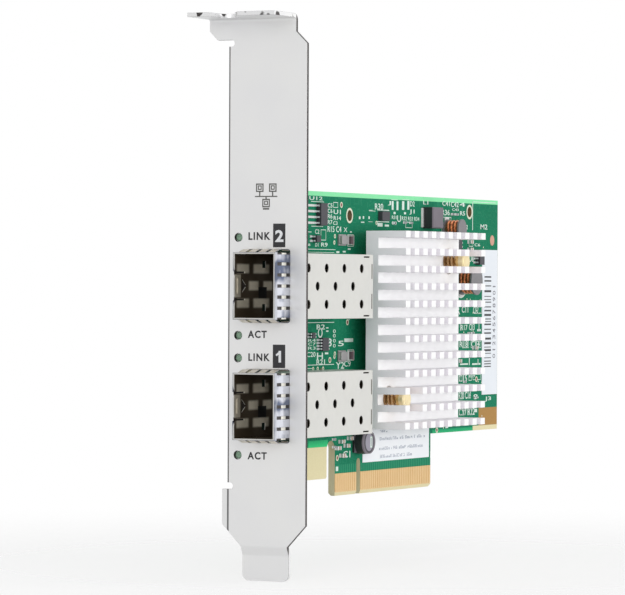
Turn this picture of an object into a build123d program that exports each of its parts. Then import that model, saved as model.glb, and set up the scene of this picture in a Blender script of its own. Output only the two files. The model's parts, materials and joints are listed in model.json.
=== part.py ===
from build123d import *
import os

os.makedirs("parts", exist_ok=True)

# Two-port network interface card, in millimetres, standing on its card edge.
# The origin is on the board's mid-plane, on the centre line of the key notch,
# level with the lower edge of the card-edge tongue.
# +X is the component side, +Y runs away from the bracket and +Z is up.

# Cutting shapes run past the faces that they cut by the overrun, and edges are
# picked by their level to within the pick tolerance.
overrun = 1.0
pick_tolerance = 0.01

# Board
board_thickness = 1.57
board_rear = 77.9
board_top = 67.35
board_bottom = 12.3
board_to_bracket = 1.6
tab_rear = -16.3
tab_bottom = 4.05
tab_corner = 0.4
slot_floor_flat = 0.1

# Card edge
tongue_front = -12.15
tongue_rear = 39.15
tongue_corner = 0.6
key_width = 1.9
key_top = 8.0
bevel_rise = 0.65
bevel_depth = 0.35
contact_pitch = 1.0
contact_width = 0.7
contact_top = 4.95
contact_above_bevel = 0.1
contact_thickness = 0.05
contact_margin = 0.65
key_to_contact = 1.5

# Bracket
sheet = 0.86
bracket_setback = 55.3
bracket_left = -3.7
bracket_width = 18.42
bracket_top = 104.0
bracket_tip = -16.0
hook_reach = 4.64
hook_height = 5.27
hook_chamfer = 1.9
head_right_inset = 2.6
head_slope_drop = 3.75
head_slope_height = 2.55
notch_height = 1.4
notch_depth = 1.3
foot_bulge = 1.25
foot_top = 3.32
foot_height = 7.42
neck_drop = 4.6
tongue_tab_left = 3.2
tongue_tab_right = 4.3
tongue_tab_corner = 1.5
joggle_offset = 0.9
joggle_height = 1.8
bend_radius = 0.6
flange_depth = 10.4
flange_notch_left = 0.6
flange_notch_width = 4.4
flange_notch_floor = 3.6
flange_lead_in = 3.0
flange_notch_straight = 1.5

# Bracket ears and their screws
ear_height = 4.4
ear_length = 9.0
ear_jog_start = 2.6
ear_jog_run = 2.2
ear_screw_back = 7.2
ear_levels = (7.1, 63.0)
screw_radius = 1.2
screw_hole_radius = 1.35
screw_head_radius = 2.1
screw_head_height = 1.5
screw_head_rim = 0.8
screw_crown_radius = 1.3
cross_slot_length = 2.1
cross_slot_width = 0.45
cross_slot_depth = 0.8
screw_reach = 0.5
thread_clearance = 0.04

# Transceiver cages
cage_levels = {"1": 21.1, "2": 46.5}
cage_width = 14.0
cage_height = 9.7
cage_length = 48.5
cage_proud = 6.45
cage_sheet = 0.25
vent_radius = 1.0
vent_sides = 12
vent_pitch = 8.8
vent_row_offset = 3.9
vent_first = 9.9
vent_count = 4
side_vent_count = 3
rear_slot_length = 3.2
rear_slot_width = 0.3
rear_slot_offset = 3.3
corner_slot_length = 3.0
leg_width = 0.7
leg_through = 0.9
leg_hole_radius = 0.55
leg_hole_sides = 8
leg_places = (6.5, 16.0, 26.0, 36.0)
floor_to_connector = 1.1
floor_fit = 0.02
latch_width = 5.4
latch_relief = 0.35
latch_relief_depth = 5.0
latch_corner = 1.3
latch_rib_back = 1.6
latch_rib_length = 3.4
latch_rib_width = 0.8
latch_rib_height = 0.2
latch_hole_length = 2.2
latch_hole_width = 3.2
latch_hole_back = 3.6
floor_window_length = 1.8
floor_window_width = 1.5
floor_window_back = 14.0
floor_window_offset = 4.6

# Spring-finger collar at each cage mouth
collar_sheet = 0.1
collar_band = 1.15
finger_width = 1.65
finger_pitch = 2.33
finger_clearance = 0.03
finger_rise_back = 3.4
finger_end_back = 7.9
finger_tuck = 0.25
top_finger_count = 6
side_finger_count = 4
cutout_side_margin = 0.8
cutout_top_margin = 0.45
cutout_corner = 0.6

# Host connector inside each cage
connector_length = 9.6
connector_side_gap = 0.65
connector_height = 5.4
connector_slot_height = 1.3
connector_slot_width = 9.4
connector_slot_depth = 5.0
connector_slot_level = 3.0
connector_rear_gap = 0.5
connector_contact_count = 10
connector_contact_pitch = 0.8
connector_contact_width = 0.35
connector_contact_height = 0.3
connector_contact_length = 4.0

# Status lights behind the bracket
led_levels = {"act_1": 10.6, "link_1": 31.2, "act_2": 36.0, "link_2": 56.8}
led_height = 1.1
led_length = 1.6
led_width = 1.7
light_hole_radius = 0.95
lens_radius = 0.44
lens_reach = 0.4

# Heat sink
sink_front = -2.7
sink_bottom = 14.66
sink_gap = 3.0
sink_base = 3.04
pin_height = 6.8
pin_columns = 10
pin_rows = 12
pin_length = 2.4
pin_width = 1.5
column_pitch = 4.624
row_pitch = 3.891
pad_thickness = 0.4
chip_size = 25.0
chip_substrate = 1.1
chip_cap_inset = 1.5

# Push pins that hold the heat sink, counted in from the corners of its field of pins
push_columns_in = 1
lower_push_rows_in = 1
upper_push_rows_in = 1
push_head_radius = 2.1
push_head_height = 1.9
push_head_level = 4.6
push_head_bevel = 0.3
push_shank_radius = 0.95
push_sink_hole = 1.3
push_board_hole = 1.3
push_bore_radius = 3.0
push_bore_depth = 0.8
barb_radius = 1.65
barb_length = 2.4
barb_tip_radius = 0.7
barb_slit = 0.5
barb_clearance = 0.05
spring_radius = 1.6
spring_wire = 0.45
spring_turns = 3.2

# Round through holes of the board
hole_radius = 1.25
front_hole = (-5.1, 62.3)
rear_hole = (61.0, 64.3)

# Small parts on the component side, each as (place along Y, place along Z)
flash_place = (-20.3, 62.3)
flash_length = 4.9
flash_width = 3.3
flash_height = 1.2
flash_lead_pitch = 1.27
flash_lead_count = 4
small_lead_pitch = 0.95
small_lead_count = 3
guard_lead_count = 2
driver_lead_pitch = 0.66
driver_lead_count = 4
lead_width = 0.36
lead_thickness = 0.2
lead_foot = 0.6
lead_span = 1.05
lead_level = 0.75
switch_place = (12.0, 62.5)
switch_length = 4.0
switch_width = 2.1
switch_height = 1.1
guard_place = (-23.0, 56.9)
guard_length = 1.5
guard_width = 2.0
guard_height = 1.2
gate_place = (-24.8, 35.7)
gate_length = 1.3
gate_width = 1.5
gate_height = 1.0
driver_place = (-18.9, 33.7)
driver_length = 2.9
driver_width = 3.0
driver_height = 1.0
monitor_place = (65.9, 53.3)
monitor_length = 3.0
monitor_width = 2.6
monitor_height = 1.3
regulator_place = (53.2, 56.9)
regulator_length = 3.4
regulator_width = 3.0
regulator_height = 1.0
oscillator_place = (-9.3, 56.8)
oscillator_size = (3.8, 2.5, 1.0)
crystal_place = (-9.2, 31.0)
crystal_size = (3.8, 2.5, 0.9)
can_base = 0.35
can_inset = 0.3
storage_coil_place = (37.4, 62.5)
storage_coil_size = (6.0, 4.9, 2.6)
storage_coil_bevel = 0.25
round_coil_place = (0.4, 11.6)
round_coil_body = 5.2
round_coil_height = 2.5
round_coil_plate = 0.5
round_coil_foot = 6.9
round_coil_foot_width = 4.6
round_coil_bevel = 0.2
label_clearance = 0.2
drum_coil_places = {"upper": (47.7, 60.0), "lower": (56.2, 47.9)}
drum_coil_radii = {"upper": 2.35, "lower": 3.3}
drum_coil_height = 4.2
drum_flange = 0.4
drum_core_share = 0.45
drum_winding_share = 0.94

# Chip capacitors and resistors: (Y, Z) of each centre
capacitor_size = (1.6, 0.8, 0.8)
capacitor_places = (
    (-11.2, 10.6), (-9.2, 12.0), (-8.8, 8.9), (-6.6, 11.0), (-4.9, 12.6),
    (44.0, 52.5), (44.0, 50.6), (61.0, 57.2), (61.0, 55.4), (53.6, 61.5),
    (53.6, 59.9), (47.0, 20.5), (47.0, 22.5), (50.0, 20.5), (54.5, 27.0),
    (54.5, 29.0), (64.0, 32.0),
)
upright_capacitor_size = (1.3, 2.1, 0.9)
upright_capacitor_places = ((-5.2, 56.8), (-4.9, 31.1), (51.6, 52.6))
resistor_size = (1.0, 0.5, 0.35)
resistor_places = (
    (-12.8, 12.6), (-12.8, 10.9), (-7.2, 8.6), (18.4, 61.0), (24.2, 61.2),
    (27.6, 61.2), (51.0, 63.6), (53.4, 63.6), (61.0, 35.5), (63.0, 35.5),
    (58.5, 24.0),
)
rear_capacitor_rows = 5
rear_capacitor_pitch = (4.1, 5.1)

# Paper labels
label_thickness = 0.1
bar_label_front = 68.6
bar_label_rear = 77.6
bar_label_bottom = 20.7
bar_label_top = 55.4
note_label_front = 2.1
note_label_rear = 38.1
note_label_bottom = 6.9
note_label_top = 15.6

# Places worked out from the sizes above
face = board_thickness / 2
back = -board_thickness / 2
plate_front = -bracket_setback
plate_rear = plate_front + sheet
flange_end = plate_front - flange_depth
board_front = plate_rear + board_to_bracket
bracket_right = bracket_left + bracket_width
hook_left = bracket_left - hook_reach
hook_bottom = bracket_top - hook_height
head_slope_top = bracket_top - head_slope_drop
foot_bottom = foot_top - foot_height
neck_level = foot_bottom - neck_drop
head_right = bracket_right - head_right_inset
cage_front = plate_front - cage_proud
cage_rear = cage_front + cage_length
cage_top = face + cage_height
cage_middle = face + cage_height / 2
wall_middle = cage_width / 2 - cage_sheet / 2
connector_width = cage_width - 2 * (cage_sheet + connector_side_gap)
connector_rear = cage_rear - cage_sheet - connector_rear_gap
connector_front = connector_rear - connector_length
floor_rear = connector_front - floor_to_connector
top_finger_rise = cutout_top_margin - finger_clearance - collar_sheet
side_finger_rise = cutout_side_margin - finger_clearance - collar_sheet
sink_length = column_pitch * (pin_columns - 1) + pin_length
sink_height = row_pitch * (pin_rows - 1) + pin_width
sink_y = sink_front + sink_length / 2
sink_z = sink_bottom + sink_height / 2
base_low = face + sink_gap
base_top = base_low + sink_base
ear_screw_y = plate_rear + ear_screw_back


def column_y(index):
    return sink_front + pin_length / 2 + index * column_pitch


def row_z(index):
    return sink_bottom + pin_width / 2 + index * row_pitch


# A push pin stands where two neighbouring pins of one column are left out.
push_columns = {"lower": push_columns_in, "upper": pin_columns - 1 - push_columns_in}
push_rows = {
    "lower": (lower_push_rows_in, lower_push_rows_in + 1),
    "upper": (pin_rows - 2 - upper_push_rows_in, pin_rows - 1 - upper_push_rows_in),
}
push_pins = {
    name: (column_y(push_columns[name]), (row_z(rows[0]) + row_z(rows[1])) / 2)
    for name, rows in push_rows.items()
}
pins_left_out = [(push_columns[name], row) for name, rows in push_rows.items() for row in rows]
leg_points = [
    (cage_front + cage_proud + along, level + side * wall_middle)
    for level in cage_levels.values()
    for along in leg_places
    for side in (-1, 1)
]

# Circuit board: body, card-edge tongue and the tab beside the bracket
with BuildPart() as circuit_board:
    with BuildSketch(Plane.YZ.offset(back)):
        with Locations(((board_front + board_rear) / 2, (board_bottom + board_top) / 2)):
            Rectangle(board_rear - board_front, board_top - board_bottom)
        with Locations(((tongue_front + tongue_rear) / 2, board_bottom / 2)):
            Rectangle(tongue_rear - tongue_front, board_bottom)
        with Locations(((board_front + tab_rear) / 2, (tab_bottom + board_bottom) / 2)):
            Rectangle(tab_rear - board_front, board_bottom - tab_bottom)
        with Locations((0, (key_top - key_width / 2) / 2)):
            Rectangle(key_width, key_top - key_width / 2, mode=Mode.SUBTRACT)
        with Locations((0, key_top - key_width / 2)):
            Circle(key_width / 2, mode=Mode.SUBTRACT)
        with Locations(front_hole, rear_hole):
            Circle(hole_radius, mode=Mode.SUBTRACT)
        with Locations(*push_pins.values()):
            Circle(push_board_hole, mode=Mode.SUBTRACT)
        with Locations(*[(ear_screw_y, level) for level in ear_levels]):
            Circle(screw_hole_radius, mode=Mode.SUBTRACT)
        with Locations(*leg_points):
            RegularPolygon(leg_hole_radius, leg_hole_sides, mode=Mode.SUBTRACT)
    extrude(amount=board_thickness)
    slot_ends = [
        edge for edge in circuit_board.edges().filter_by(Axis.X)
        if abs(edge.center().Z - board_bottom) < pick_tolerance
        and tab_rear - overrun < edge.center().Y < tongue_front + overrun
    ]
    fillet(slot_ends, (tongue_front - tab_rear - slot_floor_flat) / 2)
    toe = [
        edge for edge in circuit_board.edges().filter_by(Axis.X)
        if abs(edge.center().Z) < pick_tolerance and abs(edge.center().Y) > key_width
    ]
    chamfer(toe, tongue_corner)
    tab_toe = [
        edge for edge in circuit_board.edges().filter_by(Axis.X)
        if abs(edge.center().Z - tab_bottom) < pick_tolerance
    ]
    chamfer(tab_toe, tab_corner)
    for side in (-1, 1):
        with BuildSketch(Plane.XZ.offset(-tongue_front + overrun)):
            with BuildLine():
                Polyline(
                    (side * (face - bevel_depth), 0),
                    (side * face, bevel_rise),
                    (side * (face + overrun), bevel_rise),
                    (side * (face + overrun), -overrun),
                    (side * (face - bevel_depth), -overrun),
                    close=True,
                )
            make_face()
        extrude(amount=-(tongue_rear - tongue_front + 2 * overrun), mode=Mode.SUBTRACT)
circuit_board.part.label = "circuit_board"
export_step(circuit_board.part, "parts/circuit_board.step")

# Gold contacts on both faces of the tongue, missing at the key notch
front_count = round((-tongue_front - key_to_contact - contact_margin) / contact_pitch) + 1
rear_count = round((tongue_rear - key_to_contact - contact_margin) / contact_pitch) + 1
contact_rows = [-key_to_contact - i * contact_pitch for i in range(front_count)]
contact_rows += [key_to_contact + i * contact_pitch for i in range(rear_count)]
contact_bottom = bevel_rise + contact_above_bevel
contact_level = (contact_bottom + contact_top) / 2
for side, word in ((1, "component"), (-1, "solder")):
    with BuildPart() as contacts:
        with Locations(*[(side * (face + contact_thickness / 2), y, contact_level) for y in contact_rows]):
            Box(contact_thickness, contact_width, contact_top - contact_bottom)
    contacts.part.label = f"edge_contacts_{word}_side"
    export_step(contacts.part, f"parts/edge_contacts_{word}_side.step")

# Bracket: one folded sheet with a flange, a joggled lower tongue and two ears
plate_middle = (plate_front + plate_rear) / 2
with BuildPart() as bracket:
    with BuildSketch(Plane.YZ.offset(hook_left)):
        with BuildLine():
            FilletPolyline(
                (flange_end, bracket_top - sheet / 2),
                (plate_middle, bracket_top - sheet / 2),
                (plate_middle, neck_level),
                (plate_middle + joggle_offset, neck_level - joggle_height),
                (plate_middle + joggle_offset, bracket_tip),
                radius=bend_radius + sheet / 2,
            )
        trace(line_width=sheet)
    extrude(amount=bracket_right - hook_left)
    with BuildSketch(Plane.XZ.offset(bracket_setback + flange_depth + overrun)):
        with BuildLine():
            Polyline(
                (hook_left, bracket_top + overrun),
                (hook_left, hook_bottom + hook_chamfer),
                (hook_left + hook_chamfer, hook_bottom),
                (bracket_left, hook_bottom),
                (bracket_left, foot_top),
                (bracket_left - foot_bulge, foot_top),
                (bracket_left - foot_bulge, foot_bottom),
                (bracket_left + tongue_tab_left, neck_level),
                (bracket_left + tongue_tab_left, bracket_tip - overrun),
                (bracket_right - tongue_tab_right, bracket_tip - overrun),
                (bracket_right - tongue_tab_right, neck_level),
                (bracket_right, foot_bottom),
                (bracket_right, head_slope_top - head_slope_height),
                (head_right, head_slope_top),
                (head_right, bracket_top + overrun),
                close=True,
            )
        make_face()
    extrude(amount=-(flange_depth + sheet + joggle_offset + 2 * overrun), mode=Mode.INTERSECT)
    # Screw notch of the flange, open towards the front
    with BuildSketch(Plane.XY.offset(bracket_top - 2 * sheet)):
        notch_x = bracket_left + flange_notch_left + flange_notch_width / 2
        notch_floor = plate_front - flange_notch_floor - flange_notch_width / 2
        with Locations((notch_x, notch_floor)):
            Circle(flange_notch_width / 2)
        with BuildLine():
            Polyline(
                (notch_x - flange_notch_width / 2, notch_floor),
                (notch_x - flange_notch_width / 2, flange_end - overrun),
                (notch_x + flange_notch_width / 2 + flange_lead_in, flange_end - overrun),
                (notch_x + flange_notch_width / 2, notch_floor - flange_notch_straight),
                (notch_x + flange_notch_width / 2, notch_floor),
                close=True,
            )
        make_face()
    extrude(amount=3 * sheet, mode=Mode.SUBTRACT)
    # Round-ended relief notches at both ends of the plate's left edge
    notch_end = bracket_left + notch_depth - notch_height / 2
    with BuildSketch(Plane.XZ.offset(bracket_setback + overrun)):
        for level in (hook_bottom - notch_height / 2, foot_top + notch_height / 2):
            with Locations((notch_end, level)):
                Circle(notch_height / 2)
            with Locations((notch_end - hook_reach / 2, level)):
                Rectangle(hook_reach, notch_height)
        # Cage cut-outs and light holes
        for level in cage_levels.values():
            with Locations((cage_middle, level)):
                RectangleRounded(
                    cage_height + 2 * cutout_top_margin, cage_width + 2 * cutout_side_margin,
                    cutout_corner,
                )
        for level in led_levels.values():
            with Locations((back - led_height / 2, level)):
                Circle(light_hole_radius)
    extrude(amount=-(sheet + 2 * overrun), mode=Mode.SUBTRACT)
    lower_corners = [
        edge for edge in bracket.edges().filter_by(Axis.Y)
        if abs(edge.center().Z - bracket_tip) < pick_tolerance
    ]
    fillet(lower_corners, tongue_tab_corner)
    # Ears folded back from the left edge, joggled over to the solder side
    for level in ear_levels:
        with BuildSketch(Plane.XY.offset(level - ear_height / 2)):
            with BuildLine():
                FilletPolyline(
                    (bracket_left + 2 * sheet, plate_middle),
                    (bracket_left + sheet / 2, plate_middle),
                    (bracket_left + sheet / 2, plate_rear + ear_jog_start),
                    (back - sheet / 2, plate_rear + ear_jog_start + ear_jog_run),
                    (back - sheet / 2, plate_rear + ear_length + ear_jog_start),
                    radius=sheet,
                )
            trace(line_width=sheet)
        extrude(amount=ear_height)
    with BuildSketch(Plane.YZ.offset(back)):
        with Locations(*[(ear_screw_y, level) for level in ear_levels]):
            Circle(screw_radius + thread_clearance)
    extrude(amount=-sheet, mode=Mode.SUBTRACT)
bracket.part.label = "bracket"
export_step(bracket.part, "parts/bracket.step")

# Two pan-head screws, through the board into the tapped ears
with BuildPart() as bracket_screws:
    for level in ear_levels:
        with BuildSketch(Plane(origin=(0, ear_screw_y, level), x_dir=(1, 0, 0), z_dir=(0, 0, 1))):
            with BuildLine():
                Polyline(
                    (back - sheet - screw_reach, 0),
                    (back - sheet - screw_reach, screw_radius),
                    (face, screw_radius),
                    (face, screw_head_radius),
                    (face + screw_head_rim, screw_head_radius),
                    (face + screw_head_height, screw_crown_radius),
                    (face + screw_head_height, 0),
                    close=True,
                )
            make_face()
        revolve(axis=Axis((0, ear_screw_y, level), (1, 0, 0)))
        with BuildSketch(Plane.YZ.offset(face + screw_head_height)):
            with Locations((ear_screw_y, level)):
                Rectangle(cross_slot_length, cross_slot_width)
                Rectangle(cross_slot_width, cross_slot_length)
        extrude(amount=-cross_slot_depth, mode=Mode.SUBTRACT)
bracket_screws.part.label = "bracket_screws"
export_step(bracket_screws.part, "parts/bracket_screws.step")


def finger_profile(origin, normal, rise, length_back):
    """Side view of one spring finger: flat root, rising leaf and tucked end."""
    with BuildSketch(Plane(origin=origin, x_dir=(0, 1, 0), z_dir=normal)) as profile:
        with BuildLine():
            Polyline(
                (collar_band / 2, collar_sheet / 2),
                (collar_band, collar_sheet / 2),
                (finger_rise_back, rise + collar_sheet / 2),
                (length_back - finger_tuck, rise + collar_sheet / 2),
                (length_back, rise + collar_sheet / 2 - finger_tuck),
            )
        trace(line_width=collar_sheet)
    return profile.sketch


for port, level in cage_levels.items():
    # Cage cover: top, sides and rear wall folded from one perforated sheet
    with BuildPart() as cage_cover:
        with Locations((cage_middle, (cage_front + cage_rear) / 2, level)):
            Box(cage_height, cage_length, cage_width)
        # The hollow is open towards the board and at the mouth
        with Locations((
            cage_middle - (cage_sheet + overrun) / 2,
            (cage_front + cage_rear - cage_sheet - overrun) / 2,
            level,
        )):
            Box(
                cage_height - cage_sheet + overrun,
                cage_length - cage_sheet + overrun,
                cage_width - 2 * cage_sheet,
                mode=Mode.SUBTRACT,
            )
        with BuildSketch(Plane.YZ.offset(cage_top + overrun)):
            for row in (-1, 1):
                for i in range(vent_count):
                    vent_y = plate_front + vent_first + i * vent_pitch
                    with Locations((vent_y, level + row * vent_row_offset)):
                        RegularPolygon(vent_radius, vent_sides)
            for i in range(vent_count):
                with Locations((plate_front + vent_first + i * vent_pitch - vent_pitch / 2, level)):
                    RegularPolygon(vent_radius, vent_sides)
            for row in (-1, 1):
                with Locations((cage_rear - cage_sheet - rear_slot_width, level + row * rear_slot_offset)):
                    Rectangle(rear_slot_width, rear_slot_length)
                with Locations((
                    cage_rear - cage_sheet - corner_slot_length,
                    level + row * (cage_width / 2 - cage_sheet - rear_slot_width),
                )):
                    Rectangle(corner_slot_length, rear_slot_width)
        extrude(amount=-(cage_sheet + 2 * overrun), mode=Mode.SUBTRACT)
        with BuildSketch(Plane.XY.offset(level - cage_width / 2 - overrun)):
            for i in range(side_vent_count):
                with Locations((cage_middle, plate_front + vent_first + i * vent_pitch + vent_pitch / 2)):
                    RegularPolygon(vent_radius, vent_sides)
        extrude(amount=cage_width + 2 * overrun, mode=Mode.SUBTRACT)
        for side in (-1, 1):
            with Locations(*[
                ((face + back - leg_through) / 2, plate_front + along,
                 level + side * wall_middle)
                for along in leg_places
            ]):
                Box(board_thickness + leg_through, leg_width, cage_sheet)
    cage_cover.part.label = f"sfp_cage_cover_{port}"
    export_step(cage_cover.part, f"parts/sfp_cage_cover_{port}.step")

    # Cage floor on the board, with the latch tongue and its triangular hole
    floor_width = cage_width - 2 * cage_sheet - 2 * floor_fit
    with BuildPart() as cage_floor:
        with BuildSketch(Plane.YZ.offset(face)):
            with Locations(((cage_front + floor_rear) / 2, level)):
                Rectangle(floor_rear - cage_front, floor_width)
            for side in (-1, 1):
                with Locations((
                    cage_front + latch_relief_depth / 2, level + side * (latch_width + latch_relief) / 2,
                )):
                    Rectangle(latch_relief_depth, latch_relief, mode=Mode.SUBTRACT)
                with Locations((cage_front + floor_window_back, level + side * floor_window_offset)):
                    Rectangle(floor_window_length, floor_window_width, mode=Mode.SUBTRACT)
            with BuildLine():
                Polyline(
                    (cage_front + latch_hole_back, level - latch_hole_width / 2),
                    (cage_front + latch_hole_back, level + latch_hole_width / 2),
                    (cage_front + latch_hole_back + latch_hole_length, level),
                    close=True,
                )
            make_face(mode=Mode.SUBTRACT)
        extrude(amount=cage_sheet)
        latch_corners = [
            edge for edge in cage_floor.edges().filter_by(Axis.X)
            if abs(edge.center().Y - cage_front) < pick_tolerance
            and abs(edge.center().Z - level) < latch_width
        ]
        fillet(latch_corners, latch_corner)
        # Rib pressed up across the front of the latch tongue
        with BuildSketch(Plane.YZ.offset(face + cage_sheet)):
            with Locations((cage_front + latch_rib_back, level)):
                SlotOverall(latch_rib_length, latch_rib_width, rotation=90)
        extrude(amount=latch_rib_height)
    cage_floor.part.label = f"sfp_cage_floor_{port}"
    export_step(cage_floor.part, f"parts/sfp_cage_floor_{port}.step")

    # Collar of spring fingers round the cage mouth
    with BuildPart() as collar:
        with BuildSketch(Plane.XZ.offset(-cage_front)):
            with Locations((cage_middle, level)):
                Rectangle(cage_height + 2 * collar_sheet, cage_width + 2 * collar_sheet)
                Rectangle(cage_height, cage_width, mode=Mode.SUBTRACT)
            with Locations((face, level)):
                Rectangle(2 * overrun, latch_width + 2 * latch_relief, mode=Mode.SUBTRACT)
        extrude(amount=-collar_band)
        for i in range(top_finger_count):
            z = level + (i - (top_finger_count - 1) / 2) * finger_pitch
            root = (cage_top, cage_front, z)
            leaf = finger_profile(root, (0, 0, -1), top_finger_rise, finger_end_back)
            extrude(leaf, amount=finger_width / 2, both=True)
        for i in (0, top_finger_count - 1):
            z = level + (i - (top_finger_count - 1) / 2) * finger_pitch
            root = (face, cage_front, z)
            leaf = finger_profile(root, (0, 0, 1), top_finger_rise, finger_end_back)
            extrude(leaf, amount=finger_width / 2, both=True)
        for i in range(side_finger_count):
            x = cage_middle + (i - (side_finger_count - 1) / 2) * finger_pitch
            for side in (-1, 1):
                root = (x, cage_front, level + side * cage_width / 2)
                leaf = finger_profile(root, (side, 0, 0), side_finger_rise, finger_end_back)
                extrude(leaf, amount=finger_width / 2, both=True)
    collar.part.label = f"spring_collar_{port}"
    export_step(collar.part, f"parts/spring_collar_{port}.step")

    # Host connector: black block with a slot for the transceiver's edge
    slot_x = face + connector_slot_level
    with BuildPart() as connector:
        with Locations((face + connector_height / 2, connector_rear - connector_length / 2, level)):
            Box(connector_height, connector_length, connector_width)
        with Locations((slot_x, connector_front + (connector_slot_depth - overrun) / 2, level)):
            Box(
                connector_slot_height, connector_slot_depth + overrun, connector_slot_width,
                mode=Mode.SUBTRACT,
            )
    connector.part.label = f"host_connector_{port}"
    export_step(connector.part, f"parts/host_connector_{port}.step")

    with BuildPart() as connector_contacts:
        for side in (-1, 1):
            x = slot_x + side * (connector_slot_height - connector_contact_height) / 2
            with Locations(*[
                (x, connector_front + connector_slot_depth / 2,
                 level + (i - (connector_contact_count - 1) / 2) * connector_contact_pitch)
                for i in range(connector_contact_count)
            ]):
                Box(connector_contact_height, connector_contact_length, connector_contact_width)
    connector_contacts.part.label = f"host_contacts_{port}"
    export_step(connector_contacts.part, f"parts/host_contacts_{port}.step")

# Status lights at the board's front edge, on the solder side
for name, level in led_levels.items():
    with BuildPart() as status_light:
        with Locations((back - led_height / 2, board_front + led_length / 2, level)):
            Box(led_height, led_length, led_width)
        with BuildSketch(Plane.XZ.offset(-board_front)):
            with Locations((back - led_height / 2, level)):
                Circle(lens_radius)
        extrude(amount=lens_reach)
    status_light.part.label = f"status_light_{name}"
    export_step(status_light.part, f"parts/status_light_{name}.step")

# Main chip under the heat sink, and the thermal pad on it
cap_size = chip_size - 2 * chip_cap_inset
cap_height = sink_gap - pad_thickness - chip_substrate
with BuildPart() as main_chip:
    with Locations((face + chip_substrate / 2, sink_y, sink_z)):
        Box(chip_substrate, chip_size, chip_size)
    with Locations((face + chip_substrate + cap_height / 2, sink_y, sink_z)):
        Box(cap_height, cap_size, cap_size)
main_chip.part.label = "main_chip"
export_step(main_chip.part, "parts/main_chip.step")

with BuildPart() as thermal_pad:
    with Locations((base_low - pad_thickness / 2, sink_y, sink_z)):
        Box(pad_thickness, cap_size, cap_size)
thermal_pad.part.label = "thermal_pad"
export_step(thermal_pad.part, "parts/thermal_pad.step")

# Heat sink: one aluminium block with rows of square pins
with BuildPart() as heat_sink:
    with Locations((base_low + sink_base / 2, sink_y, sink_z)):
        Box(sink_base, sink_length, sink_height)
    with BuildSketch(Plane.YZ.offset(base_top)):
        with Locations(*[
            (column_y(column), row_z(row))
            for column in range(pin_columns)
            for row in range(pin_rows)
            if (column, row) not in pins_left_out
        ]):
            Rectangle(pin_length, pin_width)
    extrude(amount=pin_height)
    with BuildSketch(Plane.YZ.offset(base_top)):
        with Locations(*push_pins.values()):
            Circle(push_sink_hole)
    extrude(amount=-sink_base, mode=Mode.SUBTRACT)
    with BuildSketch(Plane.YZ.offset(base_top)):
        with Locations(*push_pins.values()):
            Circle(push_bore_radius)
    extrude(amount=-push_bore_depth, mode=Mode.SUBTRACT)
heat_sink.part.label = "heat_sink"
export_step(heat_sink.part, "parts/heat_sink.step")

for name, (pin_y, pin_z) in push_pins.items():
    # Brass push pin: head, shank and split barb behind the board
    head_low = base_top + push_head_level - push_head_height
    barb_top = back - barb_clearance
    with BuildPart() as push_pin:
        with BuildSketch(Plane(origin=(0, pin_y, pin_z), x_dir=(1, 0, 0), z_dir=(0, 0, 1))):
            with BuildLine():
                Polyline(
                    (base_top + push_head_level, 0),
                    (base_top + push_head_level, push_head_radius - push_head_bevel),
                    (base_top + push_head_level - push_head_bevel, push_head_radius),
                    (head_low, push_head_radius),
                    (head_low, push_shank_radius),
                    (barb_top, push_shank_radius),
                    (barb_top, barb_radius),
                    (barb_top - barb_length, barb_tip_radius),
                    (barb_top - barb_length, 0),
                    close=True,
                )
            make_face()
        revolve(axis=Axis((0, pin_y, pin_z), (1, 0, 0)))
        with Locations((barb_top - barb_length / 2, pin_y, pin_z)):
            Box(barb_length, barb_slit, 2 * (barb_radius + overrun), mode=Mode.SUBTRACT)
    push_pin.part.label = f"push_pin_{name}"
    export_step(push_pin.part, f"parts/push_pin_{name}.step")

    # Coil spring between the heat sink's counterbore and the pin's head
    spring_low = base_top - push_bore_depth + spring_wire / 2
    spring_length = head_low - spring_wire / 2 - spring_low
    with BuildPart() as push_spring:
        with BuildLine() as coil:
            Helix(
                pitch=spring_length / spring_turns, height=spring_length, radius=spring_radius,
                center=(spring_low, pin_y, pin_z), direction=(1, 0, 0),
            )
        with BuildSketch(Plane(origin=coil.line @ 0, x_dir=(1, 0, 0), z_dir=coil.line % 0)):
            Rectangle(spring_wire, spring_wire)
        sweep(path=coil.line, is_frenet=True)
    push_spring.part.label = f"push_pin_spring_{name}"
    export_step(push_spring.part, f"parts/push_pin_spring_{name}.step")


def moulded_chip(place, length, width, height):
    """Moulded chip body, seated just over its leads' feet."""
    with Locations((face + height / 2, place[0], place[1])):
        Box(height, width, length)


def gull_leads(place, count, pitch, width):
    """Two rows of bent leads, from the body's side walls down to the board."""
    for side in (-1, 1):
        root = side * width / 2
        for i in range(count):
            z = place[1] + (i - (count - 1) / 2) * pitch
            with BuildSketch(Plane.XY.offset(z - lead_width / 2)) as lead:
                with BuildLine():
                    Polyline(
                        (face + lead_level, place[0] + root),
                        (face + lead_level, place[0] + root + side * (lead_span - lead_foot)),
                        (face + lead_thickness / 2, place[0] + root + side * (lead_span - lead_foot)),
                        (face + lead_thickness / 2, place[0] + root + side * lead_span),
                    )
                trace(line_width=lead_thickness)
            extrude(lead.sketch, amount=lead_width)


with BuildPart() as memory_chip:
    moulded_chip(flash_place, flash_length, flash_width, flash_height)
memory_chip.part.label = "memory_chip"
export_step(memory_chip.part, "parts/memory_chip.step")

with BuildPart() as monitor_chip:
    moulded_chip(monitor_place, monitor_length, monitor_width, monitor_height)
monitor_chip.part.label = "monitor_chip"
export_step(monitor_chip.part, "parts/monitor_chip.step")

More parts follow.
